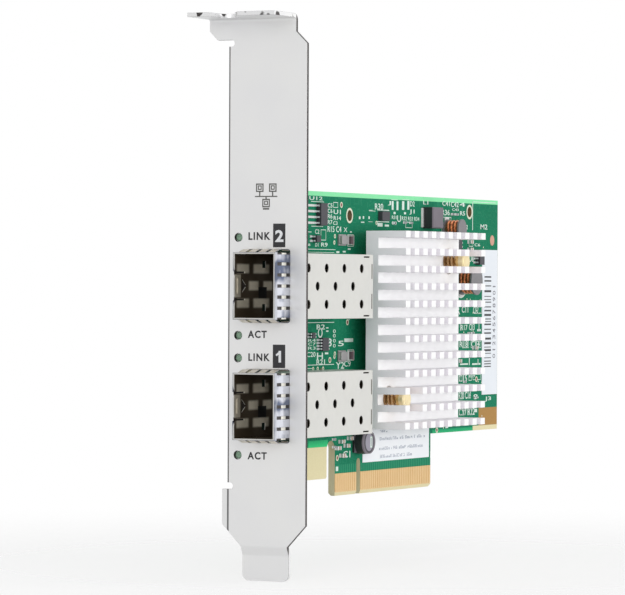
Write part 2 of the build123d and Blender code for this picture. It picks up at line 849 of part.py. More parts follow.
with BuildPart() as small_chips:
    moulded_chip(switch_place, switch_width, switch_length, switch_height)
    moulded_chip(guard_place, guard_length, guard_width, guard_height)
    moulded_chip(gate_place, gate_length, gate_width, gate_height)
    moulded_chip(driver_place, driver_length, driver_width, driver_height)
    moulded_chip(regulator_place, regulator_length, regulator_width, regulator_height)
small_chips.part.label = "small_chips"
export_step(small_chips.part, "parts/small_chips.step")

with BuildPart() as chip_leads:
    gull_leads(flash_place, flash_lead_count, flash_lead_pitch, flash_width)
    gull_leads(monitor_place, small_lead_count, small_lead_pitch, monitor_width)
    gull_leads(driver_place, driver_lead_count, driver_lead_pitch, driver_width)
    gull_leads(gate_place, guard_lead_count, driver_lead_pitch, gate_width)
    gull_leads(guard_place, guard_lead_count, small_lead_pitch, guard_width)
    gull_leads(regulator_place, small_lead_count, small_lead_pitch, regulator_width)
chip_leads.part.label = "chip_leads"
export_step(chip_leads.part, "parts/chip_leads.step")

# Oscillator and crystal: ceramic base with a metal lid
for name, place, size in (
    ("oscillator", oscillator_place, oscillator_size),
    ("crystal", crystal_place, crystal_size),
):
    with BuildPart() as metal_can:
        with Locations((face + can_base / 2, place[0], place[1])):
            Box(can_base, size[0], size[1])
        with Locations((face + (can_base + size[2]) / 2, place[0], place[1])):
            Box(size[2] - can_base, size[0] - 2 * can_inset, size[1] - 2 * can_inset)
        fillet(metal_can.edges().filter_by(Axis.X).group_by(Axis.X)[-1], can_inset)
    metal_can.part.label = name
    export_step(metal_can.part, f"parts/{name}.step")

# Moulded storage coil
with BuildPart() as storage_coil:
    with Locations((face + storage_coil_size[2] / 2, storage_coil_place[0], storage_coil_place[1])):
        Box(storage_coil_size[2], storage_coil_size[0], storage_coil_size[1])
    chamfer(storage_coil.faces().sort_by(Axis.X)[-1].edges(), storage_coil_bevel)
storage_coil.part.label = "storage_coil"
export_step(storage_coil.part, "parts/storage_coil.step")

# Shielded round coil on its square footing
with BuildPart() as round_coil:
    with BuildSketch(Plane.YZ.offset(face)):
        with Locations(round_coil_place):
            Rectangle(round_coil_foot, round_coil_foot_width)
    extrude(amount=round_coil_plate)
    with BuildSketch(Plane.YZ.offset(face)):
        with Locations(round_coil_place):
            SlotOverall(round_coil_foot, round_coil_body)
    extrude(amount=round_coil_height)
    chamfer(round_coil.faces().sort_by(Axis.X)[-1].edges(), round_coil_bevel)
round_coil.part.label = "round_coil"
export_step(round_coil.part, "parts/round_coil.step")

# Drum coils: ferrite drum with two flanges, and the copper winding between them
for name, place in drum_coil_places.items():
    radius = drum_coil_radii[name]
    winding_height = drum_coil_height - 2 * drum_flange
    with BuildPart() as drum_core:
        with BuildSketch(Plane.YZ.offset(face)):
            with Locations(place):
                Circle(radius)
        extrude(amount=drum_flange)
        with BuildSketch(Plane.YZ.offset(face + drum_flange)):
            with Locations(place):
                Circle(radius * drum_core_share)
        extrude(amount=winding_height)
        with BuildSketch(Plane.YZ.offset(face + drum_coil_height - drum_flange)):
            with Locations(place):
                Circle(radius)
        extrude(amount=drum_flange)
    drum_core.part.label = f"drum_core_{name}"
    export_step(drum_core.part, f"parts/drum_core_{name}.step")

    with BuildPart() as drum_winding:
        with BuildSketch(Plane.YZ.offset(face + drum_flange)):
            with Locations(place):
                Circle(radius * drum_winding_share)
                Circle(radius * drum_core_share, mode=Mode.SUBTRACT)
        extrude(amount=winding_height)
    drum_winding.part.label = f"drum_winding_{name}"
    export_step(drum_winding.part, f"parts/drum_winding_{name}.step")

# Chip capacitors and resistors
with BuildPart() as chip_capacitors:
    with Locations(*[(face + capacitor_size[2] / 2, y, z) for y, z in capacitor_places]):
        Box(capacitor_size[2], capacitor_size[0], capacitor_size[1])
    with Locations(*[(face + upright_capacitor_size[2] / 2, y, z) for y, z in upright_capacitor_places]):
        Box(upright_capacitor_size[2], upright_capacitor_size[0], upright_capacitor_size[1])
chip_capacitors.part.label = "chip_capacitors"
export_step(chip_capacitors.part, "parts/chip_capacitors.step")

with BuildPart() as chip_resistors:
    with Locations(*[(face + resistor_size[2] / 2, y, z) for y, z in resistor_places]):
        Box(resistor_size[2], resistor_size[0], resistor_size[1])
chip_resistors.part.label = "chip_resistors"
export_step(chip_resistors.part, "parts/chip_resistors.step")

# Capacitors on the solder side, in a square behind the main chip
rear_rows = [i - (rear_capacitor_rows - 1) / 2 for i in range(rear_capacitor_rows)]
pitch_y, pitch_z = rear_capacitor_pitch
with BuildPart() as rear_capacitors:
    with Locations(*[
        (back - capacitor_size[2] / 2, sink_y + i * pitch_y, sink_z + j * pitch_z)
        for i in rear_rows
        for j in rear_rows
    ]):
        Box(capacitor_size[2], capacitor_size[0], capacitor_size[1])
rear_capacitors.part.label = "rear_capacitors"
export_step(rear_capacitors.part, "parts/rear_capacitors.step")

# Paper labels: a bar label at the rear edge and a note label over the tongue
with BuildPart() as bar_label:
    with BuildSketch(Plane.YZ.offset(face)):
        with Locations((
            (bar_label_front + bar_label_rear) / 2, (bar_label_bottom + bar_label_top) / 2,
        )):
            Rectangle(bar_label_rear - bar_label_front, bar_label_top - bar_label_bottom)
    extrude(amount=label_thickness)
bar_label.part.label = "bar_label"
export_step(bar_label.part, "parts/bar_label.step")

with BuildPart() as note_label:
    with BuildSketch(Plane.YZ.offset(face)):
        with Locations((
            (note_label_front + note_label_rear) / 2, (note_label_bottom + note_label_top) / 2,
        )):
            Rectangle(note_label_rear - note_label_front, note_label_top - note_label_bottom)
        with Locations(round_coil_place):
            Rectangle(
                round_coil_foot + 2 * label_clearance, round_coil_body + 2 * label_clearance,
                mode=Mode.SUBTRACT,
            )
    extrude(amount=label_thickness)
note_label.part.label = "note_label"
export_step(note_label.part, "parts/note_label.step")
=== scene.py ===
# %% [markdown]
# # A two-port network interface card
#
# The card is a green circuit board behind a bright slot bracket. Two transceiver cages
# come through the bracket, a pin-fin heat sink sits on the main chip, and gold contacts
# run along the lower edge. The solid model has every piece at its real size, so this
# lesson gives the surfaces their finish and adds what is too thin to be a solid: print,
# solder, plating and copper wire. All lengths are written in millimetres.

# %% Load the solid model
import json
import math
import random

import bmesh
import bpy
from mathutils import Matrix, Vector


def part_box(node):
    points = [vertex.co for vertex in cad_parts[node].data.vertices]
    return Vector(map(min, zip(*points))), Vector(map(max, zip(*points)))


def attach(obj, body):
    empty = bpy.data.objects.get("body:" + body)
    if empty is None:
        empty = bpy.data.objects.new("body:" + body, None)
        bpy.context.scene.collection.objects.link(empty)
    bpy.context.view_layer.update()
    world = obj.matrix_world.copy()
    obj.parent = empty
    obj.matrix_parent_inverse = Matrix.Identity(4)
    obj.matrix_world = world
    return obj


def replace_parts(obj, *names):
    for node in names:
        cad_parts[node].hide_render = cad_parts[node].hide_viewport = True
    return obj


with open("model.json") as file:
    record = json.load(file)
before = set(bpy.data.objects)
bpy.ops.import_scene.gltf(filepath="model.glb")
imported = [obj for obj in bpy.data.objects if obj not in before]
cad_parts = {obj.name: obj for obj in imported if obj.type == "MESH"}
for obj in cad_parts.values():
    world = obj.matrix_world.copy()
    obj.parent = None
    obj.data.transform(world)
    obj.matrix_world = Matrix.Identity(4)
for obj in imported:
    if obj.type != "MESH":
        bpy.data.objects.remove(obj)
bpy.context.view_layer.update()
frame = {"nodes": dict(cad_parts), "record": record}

MM = 0.001
nodes = frame["nodes"]
bpy.context.scene.view_settings.view_transform = "Standard"
print("CAD nodes:", len(nodes))


# %% [markdown]
# ## Sizes read from the solids
#
# A piece that is added here has to sit on the solid that carries it. Its place is read
# from that solid's box instead of typed again, so it follows if the solid changes.

# %% Boxes of nodes and of their separate solids
def box(node):
    """Lowest and highest corner of a node, in millimetres."""
    low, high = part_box(node)
    return low / MM, high / MM


def span(points):
    """Lowest and highest corner round some points."""
    points = list(points)
    return [Vector([pick(point[i] for point in points) for i in range(3)]) for pick in (min, max)]


def solid_boxes(node):
    """The box of each separate solid of a node, in millimetres."""
    welded = bmesh.new()
    welded.from_mesh(nodes[node].data)
    bmesh.ops.remove_doubles(welded, verts=welded.verts, dist=0.001 * MM)
    welded.verts.index_update()
    seen = set()
    boxes = []
    for seed in welded.verts:
        if seed.index in seen:
            continue
        seen.add(seed.index)
        island = [seed]
        for vert in island:
            for edge in vert.link_edges:
                other = edge.other_vert(vert)
                if other.index not in seen:
                    seen.add(other.index)
                    island.append(other)
        boxes.append(span(vert.co / MM for vert in island))
    welded.free()
    return boxes


flange_depth = 10.4
hook_width = 4.64
cage_height_inside = 9.45

board_low, board_high = box("circuit_board")
face = 0.785  # half the board's thickness
plate_front = box("bracket")[0].y + flange_depth
plate_left = box("bracket")[0].x + hook_width
cage_boxes = [box("sfp_cage_cover_1"), box("sfp_cage_cover_2")]
cage_sheet = cage_boxes[0][1].x - face - cage_height_inside
print("board", [round(v, 2) for v in board_low], [round(v, 2) for v in board_high])


# %% [markdown]
# ## A way to write shader maths
#
# A surface's pattern is a sum of masks, such as "near the top edge and not on the
# tongue". Written as nodes that is a long list, so a small class wraps a socket and lets
# Python's operators add the Math nodes.

# %% The socket wrapper
def operator(operation, swapped=False):
    """A method that adds one Math node."""
    def apply(value, other=0.0):
        first, second = (other, value) if swapped else (value, other)
        return value.finish.node("Math", {0: first, 1: second}, operation=operation)
    return apply


class Channel:
    """A value that varies over a surface. Operators on it add Math nodes."""

    def __init__(self, finish, socket):
        self.finish = finish
        self.socket = socket

    __add__ = operator("ADD")
    __radd__ = operator("ADD", swapped=True)
    __sub__ = operator("SUBTRACT")
    __rsub__ = operator("SUBTRACT", swapped=True)
    __mul__ = operator("MULTIPLY")
    __rmul__ = operator("MULTIPLY", swapped=True)
    __lt__ = operator("LESS_THAN")
    __gt__ = operator("GREATER_THAN")
    __abs__ = operator("ABSOLUTE")
    most = operator("MAXIMUM")


# %% The finish: a material with a place, a facing and patterns in millimetres
def colour(red, green, blue):
    """A colour given as 0 to 255, as the linear values that Blender renders."""
    def linear(value):
        share = value / 255
        return share / 12.92 if share < 0.04045 else ((share + 0.055) / 1.055) ** 2.4
    return (linear(red), linear(green), linear(blue), 1.0)


finish = {}


class Finish:
    """One material. Its patterns read Object coordinates, scaled to millimetres."""

    def __init__(self, name, **sockets):
        self.name = name
        self.material = bpy.data.materials.new(name)
        self.material.use_nodes = True
        self.tree = self.material.node_tree
        self.tree.nodes.clear()
        self.shader = self.tree.nodes.new("ShaderNodeBsdfPrincipled")
        output = self.tree.nodes.new("ShaderNodeOutputMaterial")
        self.tree.links.new(self.shader.outputs["BSDF"], output.inputs["Surface"])
        place, facing = [self.node("TexCoord", {}, name) for name in ("Object", "Normal")]
        self.place = self.node("VectorMath", {0: place, "Scale": 1 / MM}, operation="SCALE")
        self.x, self.y, self.z = self.parts(self.place)
        self.facing_x, self.facing_y, self.facing_z = self.parts(facing)
        self.set(**sockets)

    def node(self, kind, inputs, output=0, **settings):
        """Any node: values or links of its sockets, the output to use and its settings."""
        made = self.tree.nodes.new("ShaderNode" + kind)
        for name, value in settings.items():
            setattr(made, name, value)
        for name, value in inputs.items():
            self.put(made.inputs[name], value)
        return Channel(self, made.outputs[output])

    def put(self, socket, value):
        if isinstance(value, Channel):
            self.tree.links.new(value.socket, socket)
        else:
            socket.default_value = value

    def set(self, **sockets):
        """Values or patterns on sockets of the shader, named as in base_color."""
        by_name = {key.name.lower().replace(" ", "_"): key for key in self.shader.inputs}
        for name, value in sockets.items():
            self.put(by_name[name], value)

    def parts(self, vector):
        return [self.node("SeparateXYZ", {0: vector}, axis) for axis in range(3)]

    def mix(self, factor, *shades):
        """Two shades mixed by a factor. Each is a pattern, or a colour as 0 to 255."""
        first, second = [
            colour(*shade) if isinstance(shade, tuple) else shade for shade in shades
        ]
        return self.node("Mix", {0: factor, 6: first, 7: second}, 2, data_type="RGBA")

    def stretched(self, scale):
        return self.node("VectorMath", {0: self.place, 1: scale}, operation="MULTIPLY")

    def noise(self, size, detail=2.0, stretch=(1, 1, 1)):
        """Soft noise from 0 to 1 with features of about that size."""
        return self.node("TexNoise", {
            "Vector": self.stretched(stretch), "Scale": 1 / size, "Detail": detail,
        })

    def between(self, value, low, high, blur=0.03):
        """1 where the value lies from low to high, with softened ends."""
        past_low, past_high = [
            self.node(
                "MapRange", {0: value, 1: limit - blur, 2: limit + blur},
                interpolation_type="SMOOTHSTEP",
            )
            for limit in (low, high)
        ]
        return past_low * (1 - past_high)

    def contrast(self, value, low, high):
        """The value stretched so that low becomes 0 and high becomes 1."""
        return self.node("MapRange", {0: value, 1: low, 2: high})

    def rounded(self, radius):
        """The normal with edges rounded by that many millimetres."""
        return self.node("Bevel", {"Radius": radius * MM}, samples=6)

    def edge(self, radius, gain=4.0):
        """1 along edges, 0 on flat ground."""
        both = {0: self.rounded(radius), 1: self.node("NewGeometry", {}, 1)}
        straight = self.node("VectorMath", both, 1, operation="DOT_PRODUCT")
        return self.contrast((1 - straight) * gain, 0, 1)

    def done(self, relief, **sockets):
        """Files the material. Relief is a pattern, its depth and a radius for soft edges."""
        height, depth, soft = relief
        inputs = {"Strength": 1.0, "Distance": depth * MM, "Height": height}
        if soft:
            inputs["Normal"] = self.rounded(soft)
        self.set(normal=self.node("Bump", inputs), **sockets)
        finish[self.name] = self.material


# %% [markdown]
# ## Plated steel: the bracket
#
# The real bracket is stamped from bright zinc-plated sheet. Its faces are smooth and
# pale with a faint rolling grain. Where the punch sheared the sheet, the edge is bare,
# torn and dark. Direction and place tell the two apart: a sheared wall lies within the
# thickness of the plate and doesn't face forward. The flange's edge is dark in spots.
# The rounded edges, and a thin line along the left side of the front face, carry a painted dark
# reflection.

# %% Bracket finish
bend_level = 98


def bracket_steel():
    steel = Finish("bracket_steel")
    grain = steel.noise(0.35, 3, (1, 1, 0.04))
    clouds = steel.noise(14, 2)
    speck = steel.noise(0.22, 2)
    plate = steel.mix(clouds, (226, 226, 228), (234, 234, 232))
    in_plate = steel.between(steel.y, plate_front + 0.05, plate_front + 1)
    on_flange = steel.y < plate_front - 1.2
    spots = steel.contrast(steel.noise(2.2, 1), 0.57, 0.62)
    flange_edge = on_flange * (abs(steel.facing_z) < 0.5) * spots
    torn = (in_plate * (abs(steel.facing_y) < 0.3)).most(flange_edge)
    shear = steel.mix(steel.contrast(speck, 0.42, 0.66), (28, 24, 25), (98, 92, 90))
    left_edge = steel.between(steel.x, plate_left - 0.1, plate_left + 0.3)
    # Painted dark reflection: a thin line along the left edge of the front face.
    left_edge_dark_reflection = left_edge * (steel.facing_y < -0.6) * (steel.z < bend_level)
    # Painted dark reflection along the rounded edges, stronger on the flange.
    edge_dark_reflection = steel.edge(0.12) * (1 - torn) * (0.55 + 0.35 * on_flange)
    plate = steel.mix(edge_dark_reflection, plate, (106, 104, 108))
    plate = steel.mix(left_edge_dark_reflection * 0.9, plate, (78, 76, 78))
    steel.done(
        (grain * (1 - torn) + speck * torn * 6, 0.004, 0.1),
        base_color=steel.mix(torn, plate, shear), metallic=0.5 - torn * 0.3,
        roughness=0.34 + grain * 0.1 + torn * 0.3,
    )


# %% [markdown]
# ## Tinned sheet: cages, floors and collars
#
# The cages are thin nickel silver, matt and a little warm outside. Outside, a painted
# shadow lies under the collar, with painted light where it comes through the gaps between
# the fingers. Inside they see only their own walls; that shade is painted in as brown and
# dark, with painted pale patches where light falls through the mouth and a painted black
# block deep inside. The collars are springier steel. Beside the mouth their polish mirrors
# the room in blue and grey, and above and below it they show a warm white: both are
# painted into the colour, as is a dark shade along their edges.

# %% Cage and collar finishes
# Depth is measured from the mouth of a cage, and level from its middle.
def cage_steel():
    sheet = Finish("cage_steel")
    mottle = sheet.noise(1.1, 4)
    wide = sheet.noise(9, 2)
    bottom, top = [(low.z + high.z) / 2 for low, high in cage_boxes]
    low, high = cage_boxes[0]
    level = sheet.z - bottom - (sheet.z > (bottom + top) / 2) * (top - bottom)
    depth = sheet.y - low.y
    skin = cage_sheet * 0.6

    outside = sheet.mix(mottle, (203, 202, 196), (213, 212, 207))
    outside = sheet.mix(wide * 0.5, outside, (201, 202, 201))
    # Painted light where it comes through the gaps between the collar's fingers, and a painted
    # shadow under the collar on either side of it.
    lit_gap = sheet.between(depth, 3.4, 5.5, 0.1)
    collar_shadow = sheet.between(depth, 0.5, 7.6, 0.1) * (1 - lit_gap)
    outside = sheet.mix(collar_shadow, outside, (46, 40, 40))
    outside = sheet.mix(lit_gap, outside, (252, 250, 240))

    inside = (
        sheet.between(depth, 0.25, high.y - low.y - skin, 0.05)
        * (abs(level) < (high.z - low.z) / 2 - skin)
        * sheet.between(sheet.x, face + skin, high.x - skin, 0.02)
    )

    # Painted light: pale patches on the floor inside, where light falls through the mouth, and on
    # the latch.
    def light_patch(start, end):
        return sheet.between(depth, start, end, 0.6)

    rows = sheet.between(abs(level), 2.7, 4.6, 0.3)
    centre = sheet.between(level, -0.9, 1.0, 0.3)
    latch = sheet.between(depth, 0.3, 3.0, 0.2) * sheet.between(abs(level), -1, 2.4, 0.2)
    glints = (
        (light_patch(1.2, 6.8) + light_patch(8.9, 16.3)) * rows
        + (light_patch(6.8, 11.3) + light_patch(13.6, 17.8)) * centre + latch * 0.7
    ) * (sheet.x < face + 1.2)
    # Painted shade: a black block deep inside, below the middle.
    soot = sheet.between(depth, 11.3, 15.2, 0.06) * sheet.between(level, -2.6, -0.23, 0.06)
    # The dark brown of the inside is painted shade.
    painted_inside_shading = sheet.mix(wide, (58, 48, 34), (82, 70, 52))
    painted_inside_shading = sheet.mix(glints * (0.8 + mottle * 0.4), painted_inside_shading, (224, 216, 196))
    painted_inside_shading = sheet.mix(soot, painted_inside_shading, (10, 9, 8))
    sheet.done(
        (mottle, 0.006, 0.12), base_color=sheet.mix(inside, outside, painted_inside_shading), metallic=0.35,
        roughness=0.4 + mottle * 0.12 + inside * 0.2,
    )


def collar_steel():
    spring = Finish("spring_steel")
    fingers = spring.noise(2.8, 1, (0.15, 0.25, 1))
    sheen = spring.noise(1.8, 2, (0.3, 1, 0.35))
    # Painted reflection of the room in blue and grey bands.
    reflection_bands = spring.contrast(fingers * 0.65 + sheen * 0.35, 0.42, 0.56)
    painted_light_tone = spring.mix(reflection_bands, (74, 84, 108), (186, 188, 196))
    # Painted warm light on the faces that look up and down.
    painted_warm_light = spring.mix(sheen, (196, 188, 172), (244, 238, 226))
    painted_light_tone = spring.mix(abs(spring.facing_z) > 0.5, painted_light_tone, painted_warm_light)
    spring.done(
        # The collar's edges are darkened with painted shade.
        (sheen, 0.003, 0.05), base_color=spring.mix(spring.edge(0.08), painted_light_tone, (74, 70, 74)),
        metallic=0.5, roughness=0.3 + sheen * 0.15,
    )


# %% [markdown]
# ## Aluminium: the heat sink
#
# The block is extruded, then cut across into pins. The saw leaves fine lines on the
# pins' cut faces and a soft burr on their edges. Pale, slightly rough aluminium looks
# nearly white in a soft light.

# %% Heat sink finish
def sink_aluminium():
    metal = Finish("sink")
    saw = metal.noise(0.16, 2, (0.06, 1, 1))
    clouds = metal.noise(6, 2)
    lit_faces = metal.mix(clouds, (250, 250, 251), (254, 254, 254))
    shaded_faces = metal.mix(clouds, (243, 239, 245), (249, 245, 251))
    # Faces that look forward or back take a slightly darker, purplish tone: a painted shade.
    tone = metal.mix(metal.contrast(abs(metal.facing_y), 0.3, 0.7), lit_faces, shaded_faces)
    metal.done(
        (saw, 0.006, 0.1), base_color=metal.mix(metal.edge(0.12) * 0.35, tone, (250, 250, 250)),
        metallic=0.05, roughness=0.4 + saw * 0.14,
    )


# %% [markdown]
# ## The circuit board
#
# A board is woven glass in resin, with copper tracks under a green lacquer. The lacquer
# stops at the tab beside the bracket, at the lower corner and along the contacts, where
# the pale laminate shows. Cut edges show the laminate too. Light that comes through it is
# painted in as a mint green line along the upper edge and a bright green band along the
# lower edge. Under and beside the cages near the bracket, a painted shadow darkens the
# board. Tracks are a ridge pattern: cells measured along straight axes give the straight
# and diagonal lines of a routed board.

# %% Board finish
tongue_front, tongue_rear = -12.15, 39.15
tab_rear = -16.3
board_bottom = 12.3
beyond_front, beyond_rear = -60, 90


def board_lacquer():
    lacquer = Finish("board", specular_ior_level=0.06)
    y, z = lacquer.y, lacquer.z

    def zone(bottom, top, z_blur, front, rear, y_blur):
        return lacquer.between(z, bottom, top, z_blur) * lacquer.between(y, front, rear, y_blur)

    near, far = [
        lacquer.node(
            "TexVoronoi", {"Vector": lacquer.stretched((0, 1, 1)), "Scale": 0.42},
            distance="CHEBYCHEV", feature=feature,
        )
        for feature in ("F1", "F2")
    ]
    tracks = 1 - lacquer.contrast(abs(far - near - 0.16), 0.03, 0.07)
    waves = {"Vector": lacquer.place, "Scale": 0.314, "Distortion": 0.0}
    fingers = lacquer.contrast(lacquer.node("TexWave", waves, bands_direction="Y"), 0.3, 0.6)
    over_contacts = zone(4.9, 6.9, 0.1, tongue_front, tongue_rear, 0.1)
    copper_under = tracks * (1 - over_contacts) + fingers * over_contacts
    # Painted shadow: the board goes dark under the cages and beside them near the bracket.
    cage_shadow = 0.0
    for low, high in cage_boxes:
        shade_under_cage = zone(low.z + 0.1, high.z - 0.1, 0.1, beyond_front, high.y - 0.3, 0.3)
        shaded = zone(low.z - 2, high.z + 2, 0.3, beyond_front, -32, 1.5)
        cage_shadow = shade_under_cage.most(shaded).most(cage_shadow)
    clouds = lacquer.noise(20, 2)
    weave = lacquer.noise(0.3, 2)
    green = lacquer.mix(clouds, (16, 115, 82), (26, 128, 95))
    green = lacquer.mix(copper_under * (0.16 + 0.3 * over_contacts), green, (70, 168, 128))
    shade = lacquer.mix(cage_shadow * (lacquer.x > 0), green, (8, 34, 24))

    laminate = lacquer.mix(weave, (226, 214, 168), (238, 230, 192))
    tan = lacquer.mix(weave, (172, 132, 78), (186, 146, 92))
    gold_ground = lacquer.mix(weave, (206, 164, 106), (216, 178, 124))
    # Painted light through the laminate: a mint line along the upper edge, and a bright green
    # band along the lower edge beside the contacts.
    backlit_mint = (146, 238, 178)
    backlit_green = lacquer.mix(lacquer.contrast(z, 11.0, 13.2), (64, 214, 136), (40, 160, 110))

    pale_corner = zone(12.0, 13.4, 0.05, 63.5, beyond_rear, 0.05)
    tan_corner = zone(13.4, 17.6, 0.05, 67, beyond_rear, 0.05)
    tab_bare = zone(0, 11.1, 0.05, beyond_front, tab_rear + 1, 0.05)
    contact_zone = zone(-1, 4.95, 0.04, tongue_front, tongue_rear, 0.02)
    for where, tone in (
        (lacquer.between(z, board_high.z - 1.0, board_high.z + 1, 0.06), backlit_mint),
        (zone(board_bottom - 0.2, 13.15, 0.08, 40.2, 63.4, 0.05), backlit_green),
        (pale_corner, laminate), (tan_corner, tan), (tab_bare, laminate),
        (zone(11.1, 12.6, 0.05, -25.5, tab_rear + 0.6, 0.1), backlit_green),
        (contact_zone, gold_ground),
        (zone(-1, 0.9, 0.04, tongue_front, tongue_rear, 0.02), laminate),
    ):
        shade = lacquer.mix(where, shade, tone)
    layers = lacquer.noise(0.25, 3, (1, 0.1, 0.1))
    cut = 1 - lacquer.contrast(abs(lacquer.facing_x), 0.15, 0.3)
    # The upper edge's cut face gets the painted mint light too.
    upper_cut = cut * (lacquer.facing_z > 0.7) * (z > board_high.z - 0.2)
    shade = lacquer.mix(cut, shade, lacquer.mix(layers, (186, 182, 148), (214, 208, 174)))

    bare = cut.most(tab_bare).most(tan_corner).most(contact_zone).most(pale_corner)
    lacquer.done(
        (copper_under * (1 - bare) + weave * 0.25, 0.03, 0.06),
        base_color=lacquer.mix(upper_cut, shade, backlit_mint),
        roughness=0.6 + bare * 0.2 + weave * 0.06,
    )


# %% [markdown]
# ## Gold, solder, brass and copper
#
# Contacts are flash gold over nickel with fine scratches along the way they are pushed
# in. Solder and tinned leads are softer and greyer. Brass pins are turned, so their
# lines run round; copper wire is enamelled and shows orange with dark gaps.

# %% Bright metals
head_height = 1.3


def gold_plating():
    gold = Finish("gold")
    scratch = gold.noise(0.12, 2, (1, 1, 0.05))
    clouds = gold.noise(5, 2)
    tone = gold.mix(clouds, (212, 174, 116), (222, 190, 138))
    gold.done(
        (scratch, 0.003, 0.03), base_color=gold.mix(scratch * 0.3, tone, (244, 218, 172)),
        metallic=0.7, roughness=0.28 + scratch * 0.16,
    )


def plain_metal(name, dark, pale, grain_size, detail, metallic, rough, spread, depth, soft):
    """A metal whose tone and roughness follow one grain."""
    metal = Finish(name)
    grain = metal.noise(grain_size, detail)
    metal.done(
        (grain, depth, soft), base_color=metal.mix(grain, dark, pale), metallic=metallic,
        roughness=rough + grain * spread,
    )


def turned_brass():
    brass = Finish("brass")
    rings = brass.noise(0.12, 2, (1, 0.08, 0.08))
    stain = brass.noise(0.9, 3)
    tone = brass.mix(stain, (196, 150, 82), (232, 198, 132))
    head = brass.x > box("push_pin_upper")[1].x - head_height
    tone = brass.mix(head, tone, brass.mix(stain, (224, 200, 140), (250, 238, 200)))
    brass.done(
        (rings, 0.006, 0.08), base_color=brass.mix(brass.edge(0.1) * 0.6, tone, (246, 226, 176)),
        metallic=0.75, roughness=0.22 + rings * 0.2,
    )


def enamelled_copper():
    wire = Finish("copper")
    streak = wire.noise(0.6, 2)
    wire.done(
        (streak, 0.004, 0), metallic=0.75, roughness=0.2 + streak * 0.18,
        base_color=wire.mix(wire.contrast(streak, 0.35, 0.65), (150, 78, 44), (226, 138, 86)),
        coat_weight=0.2 + streak * 0.2,
    )


# %% [markdown]
# ## Plastics, ceramics and paper
#
# Chips are moulded in a black compound with a fine, matt grain; their tops catch the
# light and look grey. Ferrite is darker and coarser, and its sides are painted nearly
# black as shade. Capacitors are fired ceramic, and the labels are a coated paper that is
# almost white. The note label is painted lighter against the heat sink's shadow, and the
# bar label is a little greyer.

# %% Matt finishes
between_labels = 60


def moulding(
    name, dark, pale, grain_size=0.12, rough=0.5, depth=0.008, soft=0.08, wear=0.25, sides=None,
):
    """A moulded or fired body: two tones, a grain, softened and slightly worn edges."""
    body = Finish(name)
    grain = body.noise(grain_size, 3)
    clouds = body.noise(grain_size * 14, 2)
    tone = body.mix(grain * 0.5 + clouds * 0.5, dark, pale)
    # Faces that don't look out from the board take the sides' tone; on ferrite it is painted
    # shade.
    if sides:
        tone = body.mix(body.facing_x > 0.7, sides, tone)
    worn = tuple(min(255, value + 60) for value in pale)
    body.done(
        (grain, depth, soft), base_color=body.mix(body.edge(soft) * wear, tone, worn),
        roughness=rough + grain * 0.15,
    )


def label_paper():
    paper = Finish("label_paper")
    fibre = paper.noise(0.2, 4)
    clouds = paper.noise(6, 2)
    # The note label is painted lighter, as light against the heat sink's shadow; the bar label,
    # past between_labels, is a little greyer.
    note_paper_painted_light = paper.mix(clouds, (238, 242, 247), (247, 249, 252))
    bar = paper.mix(clouds, (228, 234, 241), (238, 242, 247))
    paper.done(
        (fibre, 0.003, 0.03), base_color=paper.mix(paper.y > between_labels, note_paper_painted_light, bar),
        roughness=0.46 + fibre * 0.14,
    )


def light_lens():
    lens = Finish("light_lens", transmission_weight=0.15, ior=1.48)
    haze = lens.noise(0.4, 2)
    lens.done(
        (haze, 0.006, 0.05), base_color=lens.mix(haze, (106, 146, 118), (170, 202, 174)),
        roughness=0.18 + haze * 0.2,
    )


# %% [markdown]
# ## Which piece gets which finish
#
# The record names a material for each piece, and each has its finish here. Inks, solder
# and tarnish belong to this lesson only: the moulding recipe with other tones and grain.

# %% Finishes by name
ink_grain = (0.15, 0.5, 0.002, 0.01, 0.0)
